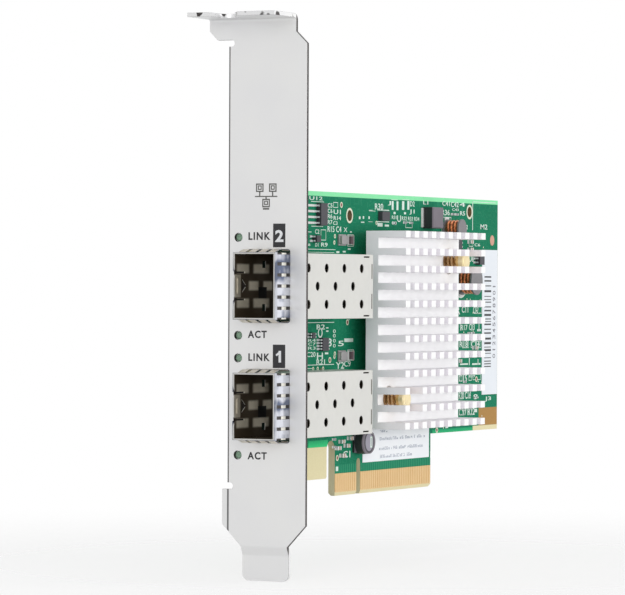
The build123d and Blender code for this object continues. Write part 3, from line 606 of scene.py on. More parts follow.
# Dark and pale tone, grain size, roughness, relief, soft edge, wear, tone of the sides; the
# ferrite's dark sides are painted shade.
mouldings = {
    "pad": ((120, 124, 134), (140, 144, 152), 0.3, 0.7),
    "chip_black": ((40, 40, 46), (62, 60, 68)),
    "ferrite": ((90, 84, 92), (120, 112, 122), 0.2, 0.45, 0.012, 0.12, 0.25, (26, 30, 32)),
    "drum_ferrite": ((98, 96, 98), (140, 138, 142), 0.35, 0.45, 0.02, 0.12),
    "capacitor_tan": ((150, 132, 112), (186, 168, 146), 0.1, 0.35),
    "resistor_black": ((30, 30, 34), (52, 50, 54), 0.1, 0.3),
    "connector_black": ((30, 29, 28), (48, 46, 44), 0.15, 0.45),
    "ink": ((30, 30, 33), (44, 44, 48), *ink_grain),
    "pale_ink": ((112, 114, 122), (142, 144, 152), *ink_grain),
    "drawing_ink": ((84, 84, 82), (104, 104, 100), *ink_grain),
    "faint_ink": ((158, 164, 178), (180, 186, 198), *ink_grain),
    "silk": ((206, 226, 214), (232, 242, 236), 0.15, 0.5, 0.004, 0.01, 0.0),
    "ring_tin": ((214, 216, 190), (236, 236, 214), 0.2, 0.35, 0.006, 0.03, 0.0),
    "solder": ((204, 205, 204), (236, 236, 234), 0.4, 0.22, 0.02, 0.06, 0.0),
    "barrel": ((96, 74, 46), (132, 110, 74), 0.2, 0.35, 0.01, 0.03, 0.0),
    "tarnish": ((104, 42, 34), (134, 62, 48), 0.15, 0.4, 0.01, 0.02, 0.0),
    "pink_copper": ((196, 140, 116), (214, 164, 140), 0.3, 0.35, 0.006, 0.03, 0.0),
    # Black used as painted shade: behind the latches and in the rear slits of the cages.
    "soot": ((26, 21, 16), (44, 36, 28), 0.3, 0.6, 0.01, 0.03, 0.0),
    "mauve": ((88, 70, 78), (116, 96, 102), 0.2, 0.4, 0.006, 0.03, 0.1),
    "coil_cap": ((132, 128, 142), (158, 154, 168), 0.3, 0.4, 0.006, 0.04, 0.2),
}
# Dark and pale tone, grain size, detail, metallic, roughness, its spread, relief, soft edge.
metals = {
    "lead_tin": ((196, 198, 202), (232, 233, 234), 0.25, 3, 0.7, 0.26, 0.2, 0.01, 0.05),
    "can_metal": ((158, 154, 156), (186, 182, 182), 0.25, 3, 0.7, 0.26, 0.2, 0.01, 0.05),
    "spring_wire": ((150, 108, 62), (226, 190, 140), 0.5, 3, 0.8, 0.22, 0.2, 0.006, 0),
    "screw_steel": ((176, 178, 184), (218, 219, 222), 0.14, 2, 0.85, 0.24, 0.16, 0.005, 0.1),
}
for recipe_of, recipes in ((moulding, mouldings), (plain_metal, metals)):
    for name, recipe in recipes.items():
        recipe_of(name, *recipe)
for make in (
    bracket_steel, cage_steel, collar_steel, sink_aluminium, board_lacquer, gold_plating,
    turned_brass, enamelled_copper, label_paper, light_lens,
):
    make()

own_finish = {
    "push_pin_spring_lower": "spring_wire", "push_pin_spring_upper": "spring_wire",
    "drum_core_lower": "drum_ferrite", "drum_core_upper": "drum_ferrite",
}
for part in frame["record"]["subparts"]:
    solid = nodes[part["node"]]
    solid.data.materials.clear()
    solid.data.materials.append(finish[own_finish.get(part["node"], part["material_slot"])])
print("finishes:", len(finish))


# %% [markdown]
# ## Shaping the thin pieces
#
# Print, solder and wire are made with mesh tools. Each shape is laid out on one side of
# the card, as right, up and out in millimetres, and its place is put into the mesh, so a
# finished object stands unscaled at the origin like the solids do.

# %% Sides of the card
class Side:
    """A flat side of the card. A place on it is right, up and out, in millimetres."""

    def __init__(self, right, up, ground):
        right, up = Vector(right), Vector(up)
        self.out = right.cross(up)
        axes = Matrix((right, up, self.out)).transposed()
        self.matrix = Matrix.Translation(ground) @ axes.to_4x4()


component_side = Side((0, 1, 0), (0, 0, 1), (face, 0, 0))
solder_side = Side((0, -1, 0), (0, 0, 1), (-face, 0, 0))
bracket_front = Side((1, 0, 0), (0, 0, 1), (0, plate_front, 0))
card_axes = Side((1, 0, 0), (0, 1, 0), (0, 0, 0))
buried = -0.02  # how deep a film starts below its ground
print("sides:", [list(side.out) for side in (component_side, solder_side, bracket_front)])


# %% A piece gathered from simple shapes
def add_object(name, data):
    """An object with that data, in the scene."""
    made = bpy.data.objects.new(name, data)
    bpy.context.scene.collection.objects.link(made)
    return made


class Piece:
    """Shapes on a side of the card that end up as one object with one finish."""

    def __init__(self, name, slot, look=None, side=component_side):
        self.name = name
        self.slot = slot
        self.look = look or slot
        self.side = side
        self.mesh = bmesh.new()

    def block(self, low, high, soft=0.0, turn=0.0):
        """A block between two corners, with softened edges or turned on its side."""
        low, high = Vector(low), Vector(high)
        stretch = Matrix.Rotation(turn, 4, "Z") @ Matrix.Diagonal((*(high - low), 1))
        place = self.side.matrix @ Matrix.Translation((low + high) / 2)
        made = bmesh.ops.create_cube(self.mesh, size=1, matrix=place @ stretch)
        if soft:
            edges = list({edge for vert in made["verts"] for edge in vert.link_edges})
            bmesh.ops.bevel(
                self.mesh, geom=edges, offset=soft, segments=2, profile=0.5, affect="EDGES",
                material=-1,
            )
        return made["verts"]

    def strip(self, bounds, rise):
        """A thin plate: front, low, rear and high on the side, and how far it stands out."""
        front, low, rear, high = bounds
        self.block((front, low, buried), (rear, high, rise))

    def outline(self, bounds, width, rise):
        """Four strips round a rectangle."""
        front, low, rear, high = bounds
        for strip in (
            (front, low, front + width, high), (rear - width, low, rear, high),
            (front + width, low, rear - width, low + width),
            (front + width, high - width, rear - width, high),
        ):
            self.strip(strip, rise)

    def disc(self, place, radius, high, low=buried, top=None, sides=24):
        bmesh.ops.create_cone(
            self.mesh, cap_ends=True, segments=sides, radius1=radius,
            radius2=radius if top is None else top, depth=high - low,
            matrix=self.side.matrix @ Matrix.Translation((*place, (low + high) / 2)),
        )

    def ring(self, place, inner, outer, high, low=buried, sides=28):
        corners = [
            self.mesh.verts.new(self.side.matrix @ Vector((place[0] + reach, place[1], level)))
            for reach, level in ((inner, low), (outer, low), (outer, high), (inner, high))
        ]
        loop = [self.mesh.edges.new((corners[i], corners[i - 1])) for i in range(4)]
        bmesh.ops.spin(
            self.mesh, geom=corners + loop, cent=self.side.matrix @ Vector((*place, 0)),
            axis=self.side.out, angle=2 * math.pi, steps=sides, use_merge=True,
            use_duplicate=False,
        )

    def letters(self, text, bounds, rise, weight=0.0, turned=False, spacing=1.0):
        """A word fitted into a rectangle on the side, reading along it or upward."""
        curve = bpy.data.curves.new("letters", "FONT")
        curve.body = text
        curve.resolution_u = 3
        curve.offset = weight
        curve.space_character = spacing
        curve.extrude = 0.5
        carrier = add_object("letters", curve)
        bpy.context.view_layer.update()
        shape = bpy.data.meshes.new_from_object(
            carrier.evaluated_get(bpy.context.evaluated_depsgraph_get()),
        )
        bpy.data.objects.remove(carrier)
        bpy.data.curves.remove(curve)
        if turned:
            shape.transform(Matrix.Rotation(math.pi / 2, 4, "Z"))
        low, high = span(vert.co for vert in shape.vertices)
        start = Vector((bounds[0], bounds[1], buried))
        end = Vector((bounds[2], bounds[3], rise))
        scale = [(end[i] - start[i]) / (high[i] - low[i]) for i in range(3)]
        fit = Matrix.Translation(start) @ Matrix.Diagonal((*scale, 1)) @ Matrix.Translation(-low)
        shape.transform(self.side.matrix @ fit)
        self.mesh.from_mesh(shape)
        bpy.data.meshes.remove(shape)

    def done(self):
        bmesh.ops.recalc_face_normals(self.mesh, faces=self.mesh.faces)
        data = bpy.data.meshes.new(self.name)
        self.mesh.to_mesh(data)
        self.mesh.free()
        data.transform(Matrix.Scale(MM, 4))
        data.materials.append(finish[self.look])
        piece = add_object(self.name, data)
        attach(piece, "root")
        print(self.name, len(data.polygons), "faces")
        return piece


# %% [markdown]
# ## Print on the bracket
#
# The bracket is screen printed in dark grey: a small drawing of three screens on one
# line, the words beside the status lights and a dark box with each port's number. The
# ink film is a few hundredths of a millimetre thick.

# %% Bracket print
ink_film = 0.03
drawing = Piece("bracket_print_drawing", "connector_black", "drawing_ink", bracket_front)
for left, low in ((2.8, 66.4), (5.88, 66.4), (4.3, 63.15)):
    drawing.outline((left, low, left + 1.78, low + 1.8), 0.26, ink_film)
    drawing.outline((left + 0.45, low + 0.45, left + 1.33, low + 1.4), 0.22, ink_film)
for bounds in (
    (2.55, 65.33, 7.85, 65.57), (3.55, 65.57, 3.83, 66.4), (6.6, 65.57, 6.88, 66.4),
    (5.05, 64.95, 5.33, 65.33), (4.45, 62.65, 5.93, 63.0),
):
    drawing.strip(bounds, ink_film)
drawing.done()

words = Piece("bracket_print_words", "connector_black", "ink", bracket_front)
for text, bounds in (
    ("LINK", (1.05, 56.25, 6.24, 57.9)), ("LINK", (1.15, 30.6, 6.24, 32.2)),
    ("ACT", (0.99, 35.45, 5.49, 37.05)), ("ACT", (1.05, 9.72, 5.6, 11.32)),
):
    words.letters(text, bounds, ink_film, 0.03, spacing=1.2)
words.strip((6.9, 54.7, 9.78, 59.7), ink_film)
words.strip((6.95, 29.17, 9.87, 34.12), ink_film)
words.done()

digits = Piece("bracket_print_digits", "label_paper", side=bracket_front)
digits.letters("2", (7.4, 55.8, 9.35, 58.35), 2 * ink_film, 0.035)
digits.strip((8.32, 30.35, 8.9, 32.8), 2 * ink_film)
digits.block((7.64, 31.93, buried), (8.64, 32.35, 1.7 * ink_film), turn=math.radians(38))
digits.done()


# %% [markdown]
# ## Light pipes
#
# Each status light shines through a short moulded pipe that stops just inside its hole
# in the bracket. Its end is a shallow dome of cloudy green plastic.

# %% Light pipes
pipe_radius = 0.88
pipe_setback = 0.5
dome_radius, dome_height = 0.6, 0.2
overlap = 0.2
for name in ("act_1", "link_1", "act_2", "link_2"):
    low, high = box("status_light_" + name)
    place = ((low.x + high.x) / 2, (low.z + high.z) / 2)
    dome_foot = -pipe_setback - dome_height
    pipe = Piece("light_pipe_" + name, "light_lens", side=bracket_front)
    pipe.disc(place, pipe_radius, dome_foot, plate_front - low.y - overlap, sides=32)
    pipe.disc(place, pipe_radius, -pipe_setback, dome_foot, dome_radius, 32)
    pipe.done()


# %% [markdown]
# ## Dark leaves and slits of the cages
#
# Behind the latch at the mouth of each cage, a thin black sheet lies under the floor as
# painted shade; it closes the latch's slits and its three-cornered hole. At the rear, the
# cover's top is bent down between two slits. The solid cover has no such slits, so two
# thin black blocks of painted shade, sunk into the sheet, stand for them.

# %% Painted shade behind the latch
sheet_front, sheet_rear, sheet_half = 0.4, 6.3, 3.3
for number, (low, high) in enumerate(cage_boxes, 1):
    middle = (low.z + high.z) / 2
    shade_sheet = Piece(f"latch_backing_{number}", "cage_steel", "soot")
    shade_sheet.block(
        (low.y + sheet_front, middle - sheet_half, -0.06),
        (low.y + sheet_rear, middle + sheet_half, 0.0),
    )
    shade_sheet.done()

# %% Slits at the rear of each cage
slits = Piece("cage_slits", "cage_steel", "soot")
slit_offset, slit_half, slit_back, slit_wide = 3.3, 1.65, 0.55, 0.2
for low, high in cage_boxes:
    along, top = high.y - slit_back, high.x - face
    for sign in (-1, 1):
        level = (low.z + high.z) / 2 + sign * slit_offset
        slits.block(
            (along - slit_wide, level - slit_half, top - 0.2),
            (along + slit_wide, level + slit_half, top + 0.01),
        )
slits.done()


# %% [markdown]
# ## White print on the board
#
# Small parts are framed and numbered in white lacquer. The marks here are plain letters
# and numbers for places, since the real ones can't be read. A few stay as plain strokes.

# %% Place marks
silk_film = 0.02
place_marks = (
    ("U12", -25.5, 65.4, -18.9, 66.2), ("U1", -13.3, 62.5, -9.6, 63.5),
    ("R14", -13.3, 61.2, -9.5, 62.1), ("C3", -13.5, 60.1, -11.3, 60.9),
    ("R15 C4", -16.3, 58.5, -9.3, 59.8), ("X", -8.1, 58.6, -6.2, 59.6),
    ("C2", -22.6, 58.0, -20.5, 59.0), ("R8", -27.3, 55.3, -25.0, 55.8),
    ("D1", -22.5, 55.2, -20.9, 56.0), ("R9", -19.5, 55.2, -16.3, 56.1),
    ("R2", -21.6, 37.0, -17.5, 38.1), ("5", -10.7, 33.2, -7.8, 34.4),
    ("C20", -26.4, 31.0, -22.1, 32.1), ("H", -21.4, 30.4, -18.4, 31.9),
    ("R21", -21.6, 29.3, -17.4, 30.4), ("Y2", -11.8, 28.2, -7.6, 29.7),
    ("C9", -7.6, 28.6, -4.2, 29.9), ("8", -16.1, 33.2, -14.0, 35.0),
    ("R30", 8.2, 63.9, 12.6, 65.3), ("J", 15.1, 65.0, 16.8, 66.0),
    ("D2", 27.2, 65.0, 29.7, 66.2), ("J1", 26.9, 63.1, 29.7, 64.3),
    ("R31", 17.3, 61.9, 19.8, 62.7), ("C40", 17.3, 60.6, 19.8, 61.4),
    ("U", 20.2, 61.3, 22.2, 62.8), ("R32 R33 R34", 22.7, 61.7, 32.3, 62.6),
    ("L1", 34.5, 65.6, 37.3, 66.5), ("C41", 45.3, 65.5, 49.5, 66.6),
    ("C42", 50.2, 65.3, 54.7, 66.5), ("4", 55.2, 65.5, 58.4, 66.5),
    ("R36", 45.0, 63.3, 49.5, 64.6), ("C43", 51.0, 64.4, 54.7, 65.0),
    ("R5", 55.5, 63.4, 58.4, 64.4), ("M2", 67.6, 60.3, 71.7, 61.5),
    ("L2", 58.2, 60.2, 60.1, 61.2), ("C6", 64.1, 56.2, 67.4, 56.9),
    ("U6", 60.9, 52.5, 63.6, 53.8), ("C11", 56.8, 40.4, 60.5, 41.9),
    ("R", 53.6, 40.0, 55.8, 41.9), ("C12", 63.5, 40.1, 66.5, 41.9),
    ("R17", 56.3, 36.2, 60.1, 37.5), ("C13", 61.1, 36.2, 64.3, 37.7),
    ("R18", 55.6, 32.2, 60.4, 33.6), ("C14", 62.4, 32.2, 67.4, 33.6),
    ("C15", 55.3, 24.0, 60.0, 25.7), ("R19", 61.2, 24.9, 64.6, 25.7),
    ("R20 C16", 55.2, 19.9, 62.2, 21.6), ("8", 63.8, 19.7, 66.3, 20.9),
    ("C17 R22", 55.4, 16.0, 64.6, 17.7), ("J3", 70.6, 19.0, 74.3, 20.2),
    ("C1", -7.9, 8.3, -4.2, 9.8), ("1", -11.6, 5.5, -10.4, 6.5),
)
marks = Piece("board_print_marks", "label_paper", "silk")
for text, *bounds in place_marks:
    marks.letters(text, bounds, silk_film, 0.01)
for level, text in ((63.9, "C5"), (62.7, "C6"), (61.5, "R6"), (60.2, "R7")):
    marks.letters(text, (-16.3, level, -13.9, level + 0.95), silk_film, 0.01)
for level in (33.3, 34.4, 35.5, 36.5):
    marks.letters("0", (-13.3, level - 0.35, -12.0, level + 0.45), silk_film)
for level, text in ((32.6, "R3"), (33.5, "C7"), (34.3, "R4")):
    marks.letters(text, (-25.8, level, -22.1, level + 0.65), silk_film)
marks.done()

# %% Lines and frames
silk_line = 0.14
lines = Piece("board_print_lines", "label_paper", "silk")
for bounds in (
    (-24.6, 65.0, -18.2, 65.14), (-24.4, 59.58, -18.6, 59.72), (-26.6, 54.54, -12.3, 54.68),
    (-26.4, 53.9, -13.0, 54.0), (-26.7, 58.3, -24.4, 58.45), (-26.1, 38.45, -12.8, 38.6),
    (-26.0, 29.15, -12.8, 29.3), (-26.4, 28.4, -23.9, 28.55), (5.1, 63.5, 8.5, 63.6),
    (5.0, 63.65, 6.9, 63.75), (4.8, 61.05, 6.9, 61.15), (-0.2, 61.6, 0.6, 62.2),
    (1.8, 61.7, 2.5, 62.3), (4.8, 61.7, 5.5, 62.3), (0.9, 60.8, 2.6, 61.05),
    (17.0, 66.25, 20.5, 66.37), (22.9, 66.4, 26.7, 66.52), (17.2, 64.0, 18.2, 66.0),
    (19.8, 64.0, 20.8, 66.0), (22.8, 64.1, 24.0, 66.1), (25.7, 64.2, 26.8, 66.2),
    (18.2, 63.05, 19.3, 63.55), (23.9, 63.1, 25.0, 63.6), (9.5, 63.75, 15.8, 63.95),
    (9.5, 61.1, 15.8, 61.3), (9.6, 60.1, 12.3, 60.9), (13.5, 60.15, 15.7, 60.6),
    (62.75, 60.0, 63.05, 66.8), (62.75, 66.7, 76.6, 66.85), (-16.8, 37.2, -15.7, 37.45),
    (-16.8, 36.45, -15.7, 36.75), (-17.4, 31.5, -15.7, 31.9), (-7.5, 34.1, -3.0, 34.9),
    (-4.8, 58.5, -3.9, 58.8), (-5.9, 54.65, -4.5, 55.0), (-11.8, 53.9, -10.3, 54.3),
    (-8.5, 54.05, -7.0, 54.4), (47.6, 13.3, 49.1, 13.6), (39.0, 6.6, 39.12, 8.2),
    (57.3, 17.0, 57.7, 18.1), (58.6, 17.0, 59.0, 18.1), (-6.0, 39.0, -4.6, 39.1),
    (55.9, 28.0, 60.5, 28.35), (61.1, 27.9, 61.5, 29.6), (63.0, 27.9, 67.9, 28.3),
    (66.3, 27.9, 66.6, 29.3), (55.9, 36.1, 56.1, 37.8), (62.6, 36.0, 62.8, 37.8),
    (65.9, 35.9, 68.0, 36.4), (66.8, 35.9, 67.1, 37.7), (63.8, 19.9, 66.8, 20.3),
    (64.3, 16.6, 66.0, 17.4),
):
    lines.strip(bounds, silk_film)
for bounds in (
    (-13.4, 63.9, -11.1, 65.15), (-19.7, 56.6, -17.1, 59.0), (-6.1, 55.4, -2.9, 58.1),
    (-5.9, 29.9, -2.6, 32.4), (24.7, 60.0, 28.5, 61.4), (45.0, 59.0, 50.4, 62.9),
    (60.8, 56.1, 63.2, 58.3), (64.6, 40.1, 68.4, 41.8), (57.2, 32.0, 60.9, 33.8),
    (62.2, 32.0, 65.0, 33.7), (65.5, 31.9, 68.2, 33.6), (55.4, 24.1, 56.6, 25.7),
    (57.5, 24.1, 59.4, 25.7), (61.0, 24.2, 62.7, 25.7), (63.4, 24.3, 68.1, 25.7),
    (55.8, 20.1, 57.4, 21.8), (58.9, 20.2, 62.2, 21.8), (55.5, 16.1, 58.2, 17.5),
    (60.3, 16.1, 62.8, 17.6),
):
    lines.outline(bounds, silk_line, silk_film)
lines.ring((-19.8, 36.25), 0.75, 1.15, silk_film)
low, high = box("drum_core_lower")
reach = (high.y - low.y) / 2
place = ((low.y + high.y) / 2, (low.z + high.z) / 2)
lines.ring(place, reach + 0.5, reach + 0.75, silk_film, sides=48)
lines.done()


# %% [markdown]
# ## Bare copper and plated holes
#
# Holes and test points are left free of lacquer. A plated hole shows a pale ring with a
# brown barrel; a test point is a small dot of tarnished copper in a pale ring. Vias, the
# small plated holes that join the copper layers, are left as pale dots at random places.

# %% Ringed holes and test points
hole_rings = Piece("plated_hole_rings", "lead_tin", "ring_tin")
barrels = Piece("plated_hole_barrels", "copper", "barrel")
hole_radius = 1.25
ring_film = 0.05
for along, level in ((-5.1, 62.3), (61.0, 64.3)):
    hole_rings.side = solder_side
    hole_rings.ring((-along, level), hole_radius, 1.72, ring_film, sides=40)
    hole_rings.side = component_side
    hole_rings.ring((along, level), hole_radius, 1.72, ring_film, sides=40)
    barrels.ring(
        (along, level), hole_radius - 0.06, hole_radius + 0.02, 0.04, -2 * face - 0.04, 40,
    )
for place in (
    (-12.6, 57.6), (-12.9, 56.2), (-12.4, 31.6), (-12.6, 30.9), (9.0, 60.9), (-23.3, 28.35),
    (-21.0, 28.35), (-18.3, 28.35),
):
    hole_rings.ring(place, 0.22, 0.48, ring_film, sides=20)
hole_rings.done()
barrels.done()

test_points = Piece("test_points", "copper", "tarnish")
test_rings = Piece("test_point_rings", "lead_tin", "ring_tin")
for place in (
    (-9.3, 64.6), (-6.0, 38.5), (-14.9, 30.2), (-10.9, 8.4), (65.5, 24.5), (42.7, 13.0),
):
    test_points.disc(place, 0.42, 0.03)
    test_rings.ring(place, 0.4, 0.66, 0.04)
test_points.done()
test_rings.done()

copper_pad = Piece("bare_copper_pad", "copper", "pink_copper")
copper_pad.disc((74.6, 57.7), 1.25, 0.03, sides=40)
copper_pad.done()

# %% Vias
via_dots = Piece("via_dots", "lead_tin", "ring_tin")
scatter = random.Random(11)
for row in range(9):
    for column in range(16):
        along = 40.5 + column * 1.9 + scatter.uniform(-0.5, 0.5)
        level = 14.6 + row * 5.0 + scatter.uniform(-1.5, 1.5)
        if scatter.random() < 0.45 and along > 46:
            via_dots.disc((along, level), 0.2, 0.02, sides=12)
for column in range(12):
    via_dots.disc((-26 + column * 1.9, 53.0 + scatter.uniform(-0.1, 0.1)), 0.16, 0.02, sides=12)
via_dots.done()


# %% [markdown]
# ## Solder on the small parts
#
# A chip capacitor ends in two tinned caps, and solder climbs from the pads to the caps.
# A resistor has the same, thinner. The bent leads of the chips stand on pads of solder,
# and the memory chip's front leads on long ones. Solder also shows where the coils' ends
# meet the board and as small cones round the cage legs on the solder side.

# %% Caps, fillets and pads
cap_share = 0.2
cap_film = 0.02
fillet_reach, fillet_climb = 0.3, 0.4
long_pad, short_pad = 3.2, 0.15
caps = Piece("capacitor_end_caps", "lead_tin", side=card_axes)
solder = Piece("solder_fillets", "lead_tin", "solder", card_axes)


def end_caps(low, high, along, out):
    """Tinned ends on a chip part that lies along one axis, and solder at their feet."""
    reach = (high - low)[along] * cap_share
    ground = out * face
    body = high.x if out > 0 else low.x
    levels = sorted((ground - out * 0.02, ground + fillet_climb * (body - ground)))
    # At the part's low end the cap's high corner is its inner one, at the high end its low.
    for sign, inner, outer in ((-1, 1, 0), (1, 0, 1)):
        cap = [low - Vector((cap_film,) * 3), high + Vector((cap_film,) * 3)]
        cap[inner][along] = (low, high)[outer][along] - sign * reach
        caps.block(*cap)
        foot = [corner.copy() for corner in cap]
        foot[inner][along] = cap[outer][along] - sign * 0.05
        foot[outer][along] += sign * fillet_reach
        foot[0].x, foot[1].x = levels
        middle = (foot[0] + foot[1])[along] / 2
        for vert in solder.block(*foot):
            beyond = (vert.co[along] - middle) * sign > 0
            if beyond and abs(vert.co.x) > face + 0.05:
                vert.co.x = ground + out * 0.06


def upright(low, high):
    """Whether a chip part is one of the two wide ones that stand along the board."""
    return high.z - low.z > 1.9 and high.y - low.y > 1.0


for node, out in (("chip_capacitors", 1), ("chip_resistors", 1), ("rear_capacitors", -1)):
    for low, high in solid_boxes(node):
        size = high - low
        end_caps(low, high, 1 if size.y >= size.z or upright(low, high) else 2, out)
solder.side = component_side
memory_low = box("memory_chip")[0]
for low, high in solid_boxes("chip_leads"):
    front_lead = low.y < memory_low.y and low.z > memory_low.z
    solder.block(
        (low.y - (long_pad if front_lead else short_pad), low.z - 0.07, buried),
        (high.y + short_pad, high.z + 0.07, 0.07), 0.03,
    )
caps.done()
solder.done()

tops = Piece("upright_capacitor_tops", "capacitor_tan", "mauve")
for low, high in solid_boxes("chip_capacitors"):
    if upright(low, high):
        top = high.x - face + 0.04
        tops.block((low.y - 0.05, low.z + 0.2, 0.1), (high.y - 0.35, high.z - 0.2, top))
tops.done()

# %% Terminals of the storage coil and the drum coils
terminals = Piece("terminals", "lead_tin", "solder")
low, high = box("storage_coil")
for start in (low.y - 1.1, high.y - 0.1):
    terminals.block((start, low.z + 0.2, buried), (start + 1.2, high.z - 0.2, 0.25), 0.08)
for node in ("drum_core_upper", "drum_core_lower"):
    low, high = box(node)
    middle = (low + high) / 2
    for level in (low.z, high.z):
        terminals.block(
            (middle.y - 1.2, level - 0.5, buried), (middle.y + 1.2, level + 0.5, 0.2), 0.06,
        )
terminals.done()

# %% Solder joints behind the cages
leg_joints = Piece("leg_joints", "lead_tin", "solder", solder_side)
leg_step = 1.2
# The corners of one leg's tip fall into one cell of a grid, which gives the leg's place.
found = set()
for node in ("sfp_cage_cover_1", "sfp_cage_cover_2"):
    for vert in nodes[node].data.vertices:
        place = vert.co / MM
        if place.x < -face - 0.3:
            found.add((round(place.y), round(place.z / leg_step)))
for along, level in sorted(found):
    leg_joints.disc((-along, level * leg_step), 0.8, 0.35, top=0.45, sides=16)
leg_joints.done()


# %% [markdown]
# ## Copper wire on the drum coils
#
# Each drum coil is wound with one layer of enamelled wire between its two flanges. The
# wire is a circle swept round the drum in a spiral, over a dark bed that shows between
# the turns.

# %% Wire turns
wire_radius = 0.36
wire_gap = 0.02
steps_a_turn = 30
for name in ("upper", "lower"):
    node = "drum_winding_" + name
    low, high = box(node)
    middle = (low + high) / 2
    reach = (high.z - low.z) / 2
    rise = high.x - low.x - 2 * wire_radius
    turns = int(rise / (2 * wire_radius + wire_gap))
    coil = Piece("wire_turns_" + name, "copper")
    start = Matrix.Translation((low.x + wire_radius, middle.y + reach - wire_radius, middle.z))
    made = bmesh.ops.create_circle(
        coil.mesh, cap_ends=False, segments=12, radius=wire_radius, matrix=start,
    )
    edges = list({edge for vert in made["verts"] for edge in vert.link_edges})
    bmesh.ops.spin(
        coil.mesh, geom=made["verts"] + edges, cent=(0, middle.y, middle.z), axis=(1, 0, 0),
        dvec=(rise / turns / steps_a_turn, 0, 0), angle=2 * math.pi * turns,
        steps=turns * steps_a_turn, use_merge=False, use_duplicate=False,
    )
    ends = [edge for edge in coil.mesh.edges if len(edge.link_faces) == 1]
    bmesh.ops.holes_fill(coil.mesh, edges=ends, sides=12)
    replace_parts(coil.done(), node)
    bed = Piece("wire_bed_" + name, "copper", "barrel")
    bed.disc(
        (middle.y, middle.z), reach - 1.3 * wire_radius, high.x - face, low.x - face, sides=40,
    )
    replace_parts(bed.done(), node)


# %% [markdown]
# ## The round coil and the labels
#
# The round coil has a dark ring sunk into its top with a pale mark. The bar label holds
# plain bars with a column of digits, and the note label four faint lines of strokes.

# %% Round coil top
along, level = place = 0.4, 11.6
cap_radius, ring_radius, sunk = 2.0, 2.42, 0.1
coil_level = box("round_coil")[1].x - face
coil_ring = Piece("round_coil_ring", "ferrite", "chip_black")
coil_ring.ring(place, cap_radius, ring_radius, coil_level + 0.04, coil_level - sunk, 40)
coil_ring.done()
coil_top = Piece("round_coil_top", "label_paper", "coil_cap")
coil_top.disc(place, cap_radius, coil_level + 0.03, coil_level - sunk, sides=40)
coil_top.done()
coil_mark = Piece("round_coil_mark", "label_paper", "silk")
coil_mark.outline((along + 0.5, level - 1.25, along + 1.5, level + 1.25), 0.32, coil_level + 0.06)
coil_mark.done()

# %% Bars and digits on the bar label
paper_level = box("bar_label")[1].x - face
paper_ink = 0.02
bars = Piece("label_bars", "connector_black", "ink")
level = 27.3
while level < 49.2:
    thick = scatter.choice((0.18, 0.24, 0.36, 0.5))
    bars.block(
        (69.9, level, paper_level - paper_ink),
        (73.9, min(level + thick, 49.6), paper_level + paper_ink),
    )
    level += thick + scatter.choice((0.4, 0.6, 0.9))
bars.done()
number = Piece("label_digits", "connector_black", "pale_ink")
for place, digit in enumerate("012345678901"):
    bottom = 29.4 + place * 1.52
    narrow = 0.34 if digit == "1" else 0.0
    bounds = (74.9, bottom + narrow, 76.5, bottom + 1.0 - narrow)
    number.letters(digit, bounds, paper_level + paper_ink, 0.01, turned=True)
number.done()

# %% Strokes on the note label
note_level = box("note_label")[1].x - face
pen, bar = 0.2, 0.14
strokes = Piece("note_label_strokes", "connector_black", "faint_ink")
for start, end, low, high in (
    (11.0, 15.7, 13.4, 13.9), (11.0, 37.2, 11.6, 12.3), (10.8, 34.6, 9.4, 10.1),
    (11.0, 28.6, 7.6, 8.3),
):
    along = start
    while along < end - 0.7:
        width = scatter.uniform(0.6, 1.0)
        top = high if scatter.random() > 0.4 else high - 0.2
        middle = (low + top) / 2
        left, right = along + pen, along + width - pen
        for front, bottom, rear, upper in (
            (along, low, left, top), (right, low, along + width, middle + bar / 2),
            (left, low, right, low + bar), (left, middle - bar / 2, right, middle + bar / 2),
            (left, top - bar, along + width, top),
        ):
            if scatter.random() < 0.8:
                strokes.block(
                    (front, bottom, note_level - 0.02), (rear, upper, note_level + 0.015),
                )
        along += width + (0.22 if scatter.random() < 0.85 else 0.9)
strokes.done()


# %% [markdown]
# ## The camera
#
# The camera stands in front of the bracket and a little to the right, level with the
# cages, with a long lens. Its place and lens were fitted to points of the photograph
# whose real places the solid model knows.

# %% Camera
def photo_camera():
    turn, pitch, roll = [math.radians(value) for value in (26.054, -0.1518, 0.24373)]
    stand = Vector((392.301, -824.536, 46.389))
    focal_pixels = 4069.035
    photo_width = 625
    lens = bpy.data.cameras.new("photo_camera")
    lens.sensor_fit = "HORIZONTAL"
    lens.sensor_width = 36
    lens.lens = focal_pixels * lens.sensor_width / photo_width
    lens.clip_start = 0.05
    lens.clip_end = 20
    ahead = math.cos(pitch)
    forward = Vector((-math.sin(turn) * ahead, math.cos(turn) * ahead, math.sin(pitch)))
    level = Vector((math.cos(turn), math.sin(turn), 0))
    above = level.cross(forward)
    right = level * math.cos(roll) + above * math.sin(roll)
    up = above * math.cos(roll) - level * math.sin(roll)
    axes = Matrix((right, up, -forward)).transposed().to_4x4()
    camera = add_object("photo_camera", lens)
    camera.matrix_world = Matrix.Translation(stand * MM) @ axes
    bpy.context.scene.camera = camera
    return camera


camera = photo_camera()
print("lens", round(camera.data.lens, 1), "mm")


# %% [markdown]
# ## Background, floor and lamps
#
# The photograph has a clean white background. The world is white to the camera and in
# reflections, and only a soft grey as light. The floor is pale and fades out, so just a
# faint shadow stays under the card. One large soft lamp stands to the right, which makes
# the surfaces that face the chips brighter than those that face the bracket's side.

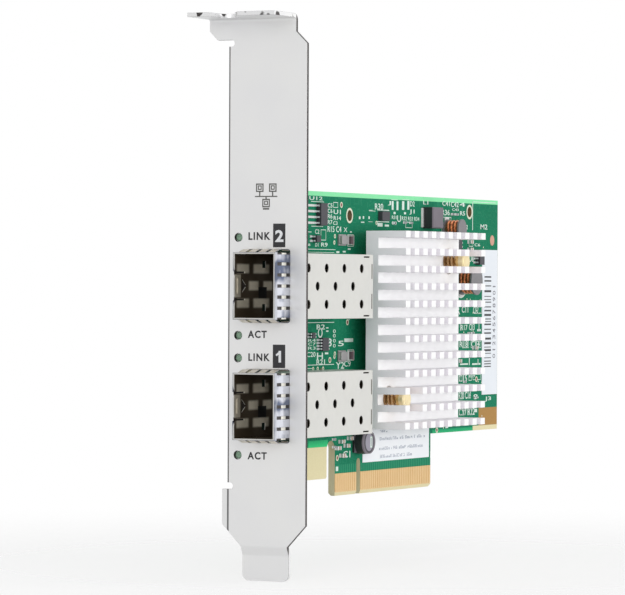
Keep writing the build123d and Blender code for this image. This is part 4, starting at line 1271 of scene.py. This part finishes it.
# %% Background
def white_room(light_level):
    """White for rays that see or mirror it, and a soft light for all others."""
    world = bpy.data.worlds.new("white_room")
    bpy.context.scene.world = world
    world.use_nodes = True
    tree = world.node_tree
    tree.nodes.clear()

    def background(strength):
        made = tree.nodes.new("ShaderNodeBackground")
        made.inputs["Color"].default_value = (1, 1, 1, 1)
        made.inputs["Strength"].default_value = strength
        return made.outputs[0]

    rays = tree.nodes.new("ShaderNodeLightPath").outputs
    seen = rays["Is Camera Ray"]
    for name in ("Is Glossy Ray", "Is Transmission Ray"):
        either = tree.nodes.new("ShaderNodeMath")
        either.operation = "MAXIMUM"
        tree.links.new(seen, either.inputs[0])
        tree.links.new(rays[name], either.inputs[1])
        seen = either.outputs[0]
    mix = tree.nodes.new("ShaderNodeMixShader")
    for socket, source in enumerate((seen, background(light_level), background(1.0))):
        tree.links.new(source, mix.inputs[socket])
    output = tree.nodes.new("ShaderNodeOutputWorld")
    tree.links.new(mix.outputs[0], output.inputs["Surface"])


# %% Floor
def pale_floor(reach):
    mesh = bmesh.new()
    bmesh.ops.create_circle(mesh, cap_ends=True, segments=96, radius=reach * MM)
    data = bpy.data.meshes.new("floor")
    mesh.to_mesh(data)
    mesh.free()
    middle = (board_low + board_high) / 2
    lowest = min(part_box(name)[0].z for name in nodes)
    data.transform(Matrix.Translation((middle.x * MM, middle.y * MM, lowest - 0.2 * MM)))
    floor = add_object("floor", data)
    paint = Finish("floor_white", base_color=colour(250, 250, 250), roughness=0.8)
    offset = paint.node("VectorMath", {
        0: paint.place, 1: (1, 1, 0), 2: (-middle.x, -middle.y, 0),
    }, operation="MULTIPLY_ADD")
    away = paint.node("VectorMath", {0: offset}, 1, operation="LENGTH")
    paint.set(alpha=0.3 * paint.between(away, -2 * reach, reach * 0.55, reach * 0.4))
    data.materials.append(paint.material)


# %% Lamps
def soft_lamp(name, place, target, size, power):
    lamp = bpy.data.lights.new(name, "AREA")
    lamp.shape = "DISK"
    lamp.size = size
    lamp.energy = power
    aim = Vector(target) - Vector(place)
    axes = aim.to_track_quat("-Z", "Y").to_matrix().to_4x4()
    add_object(name, lamp).matrix_world = Matrix.Translation(place) @ axes


white_room(0.52)
pale_floor(260)
middle = (board_low + board_high) / 2 * MM
soft_lamp("right_lamp", (1.35, 0.55, 0.12), middle, 0.7, 8.5)
soft_lamp("front_lamp", (0.55, -1.35, 0.3), middle, 0.9, 6.1)
soft_lamp("top_lamp", (0.2, 0.2, 1.5), middle, 0.9, 3.0)
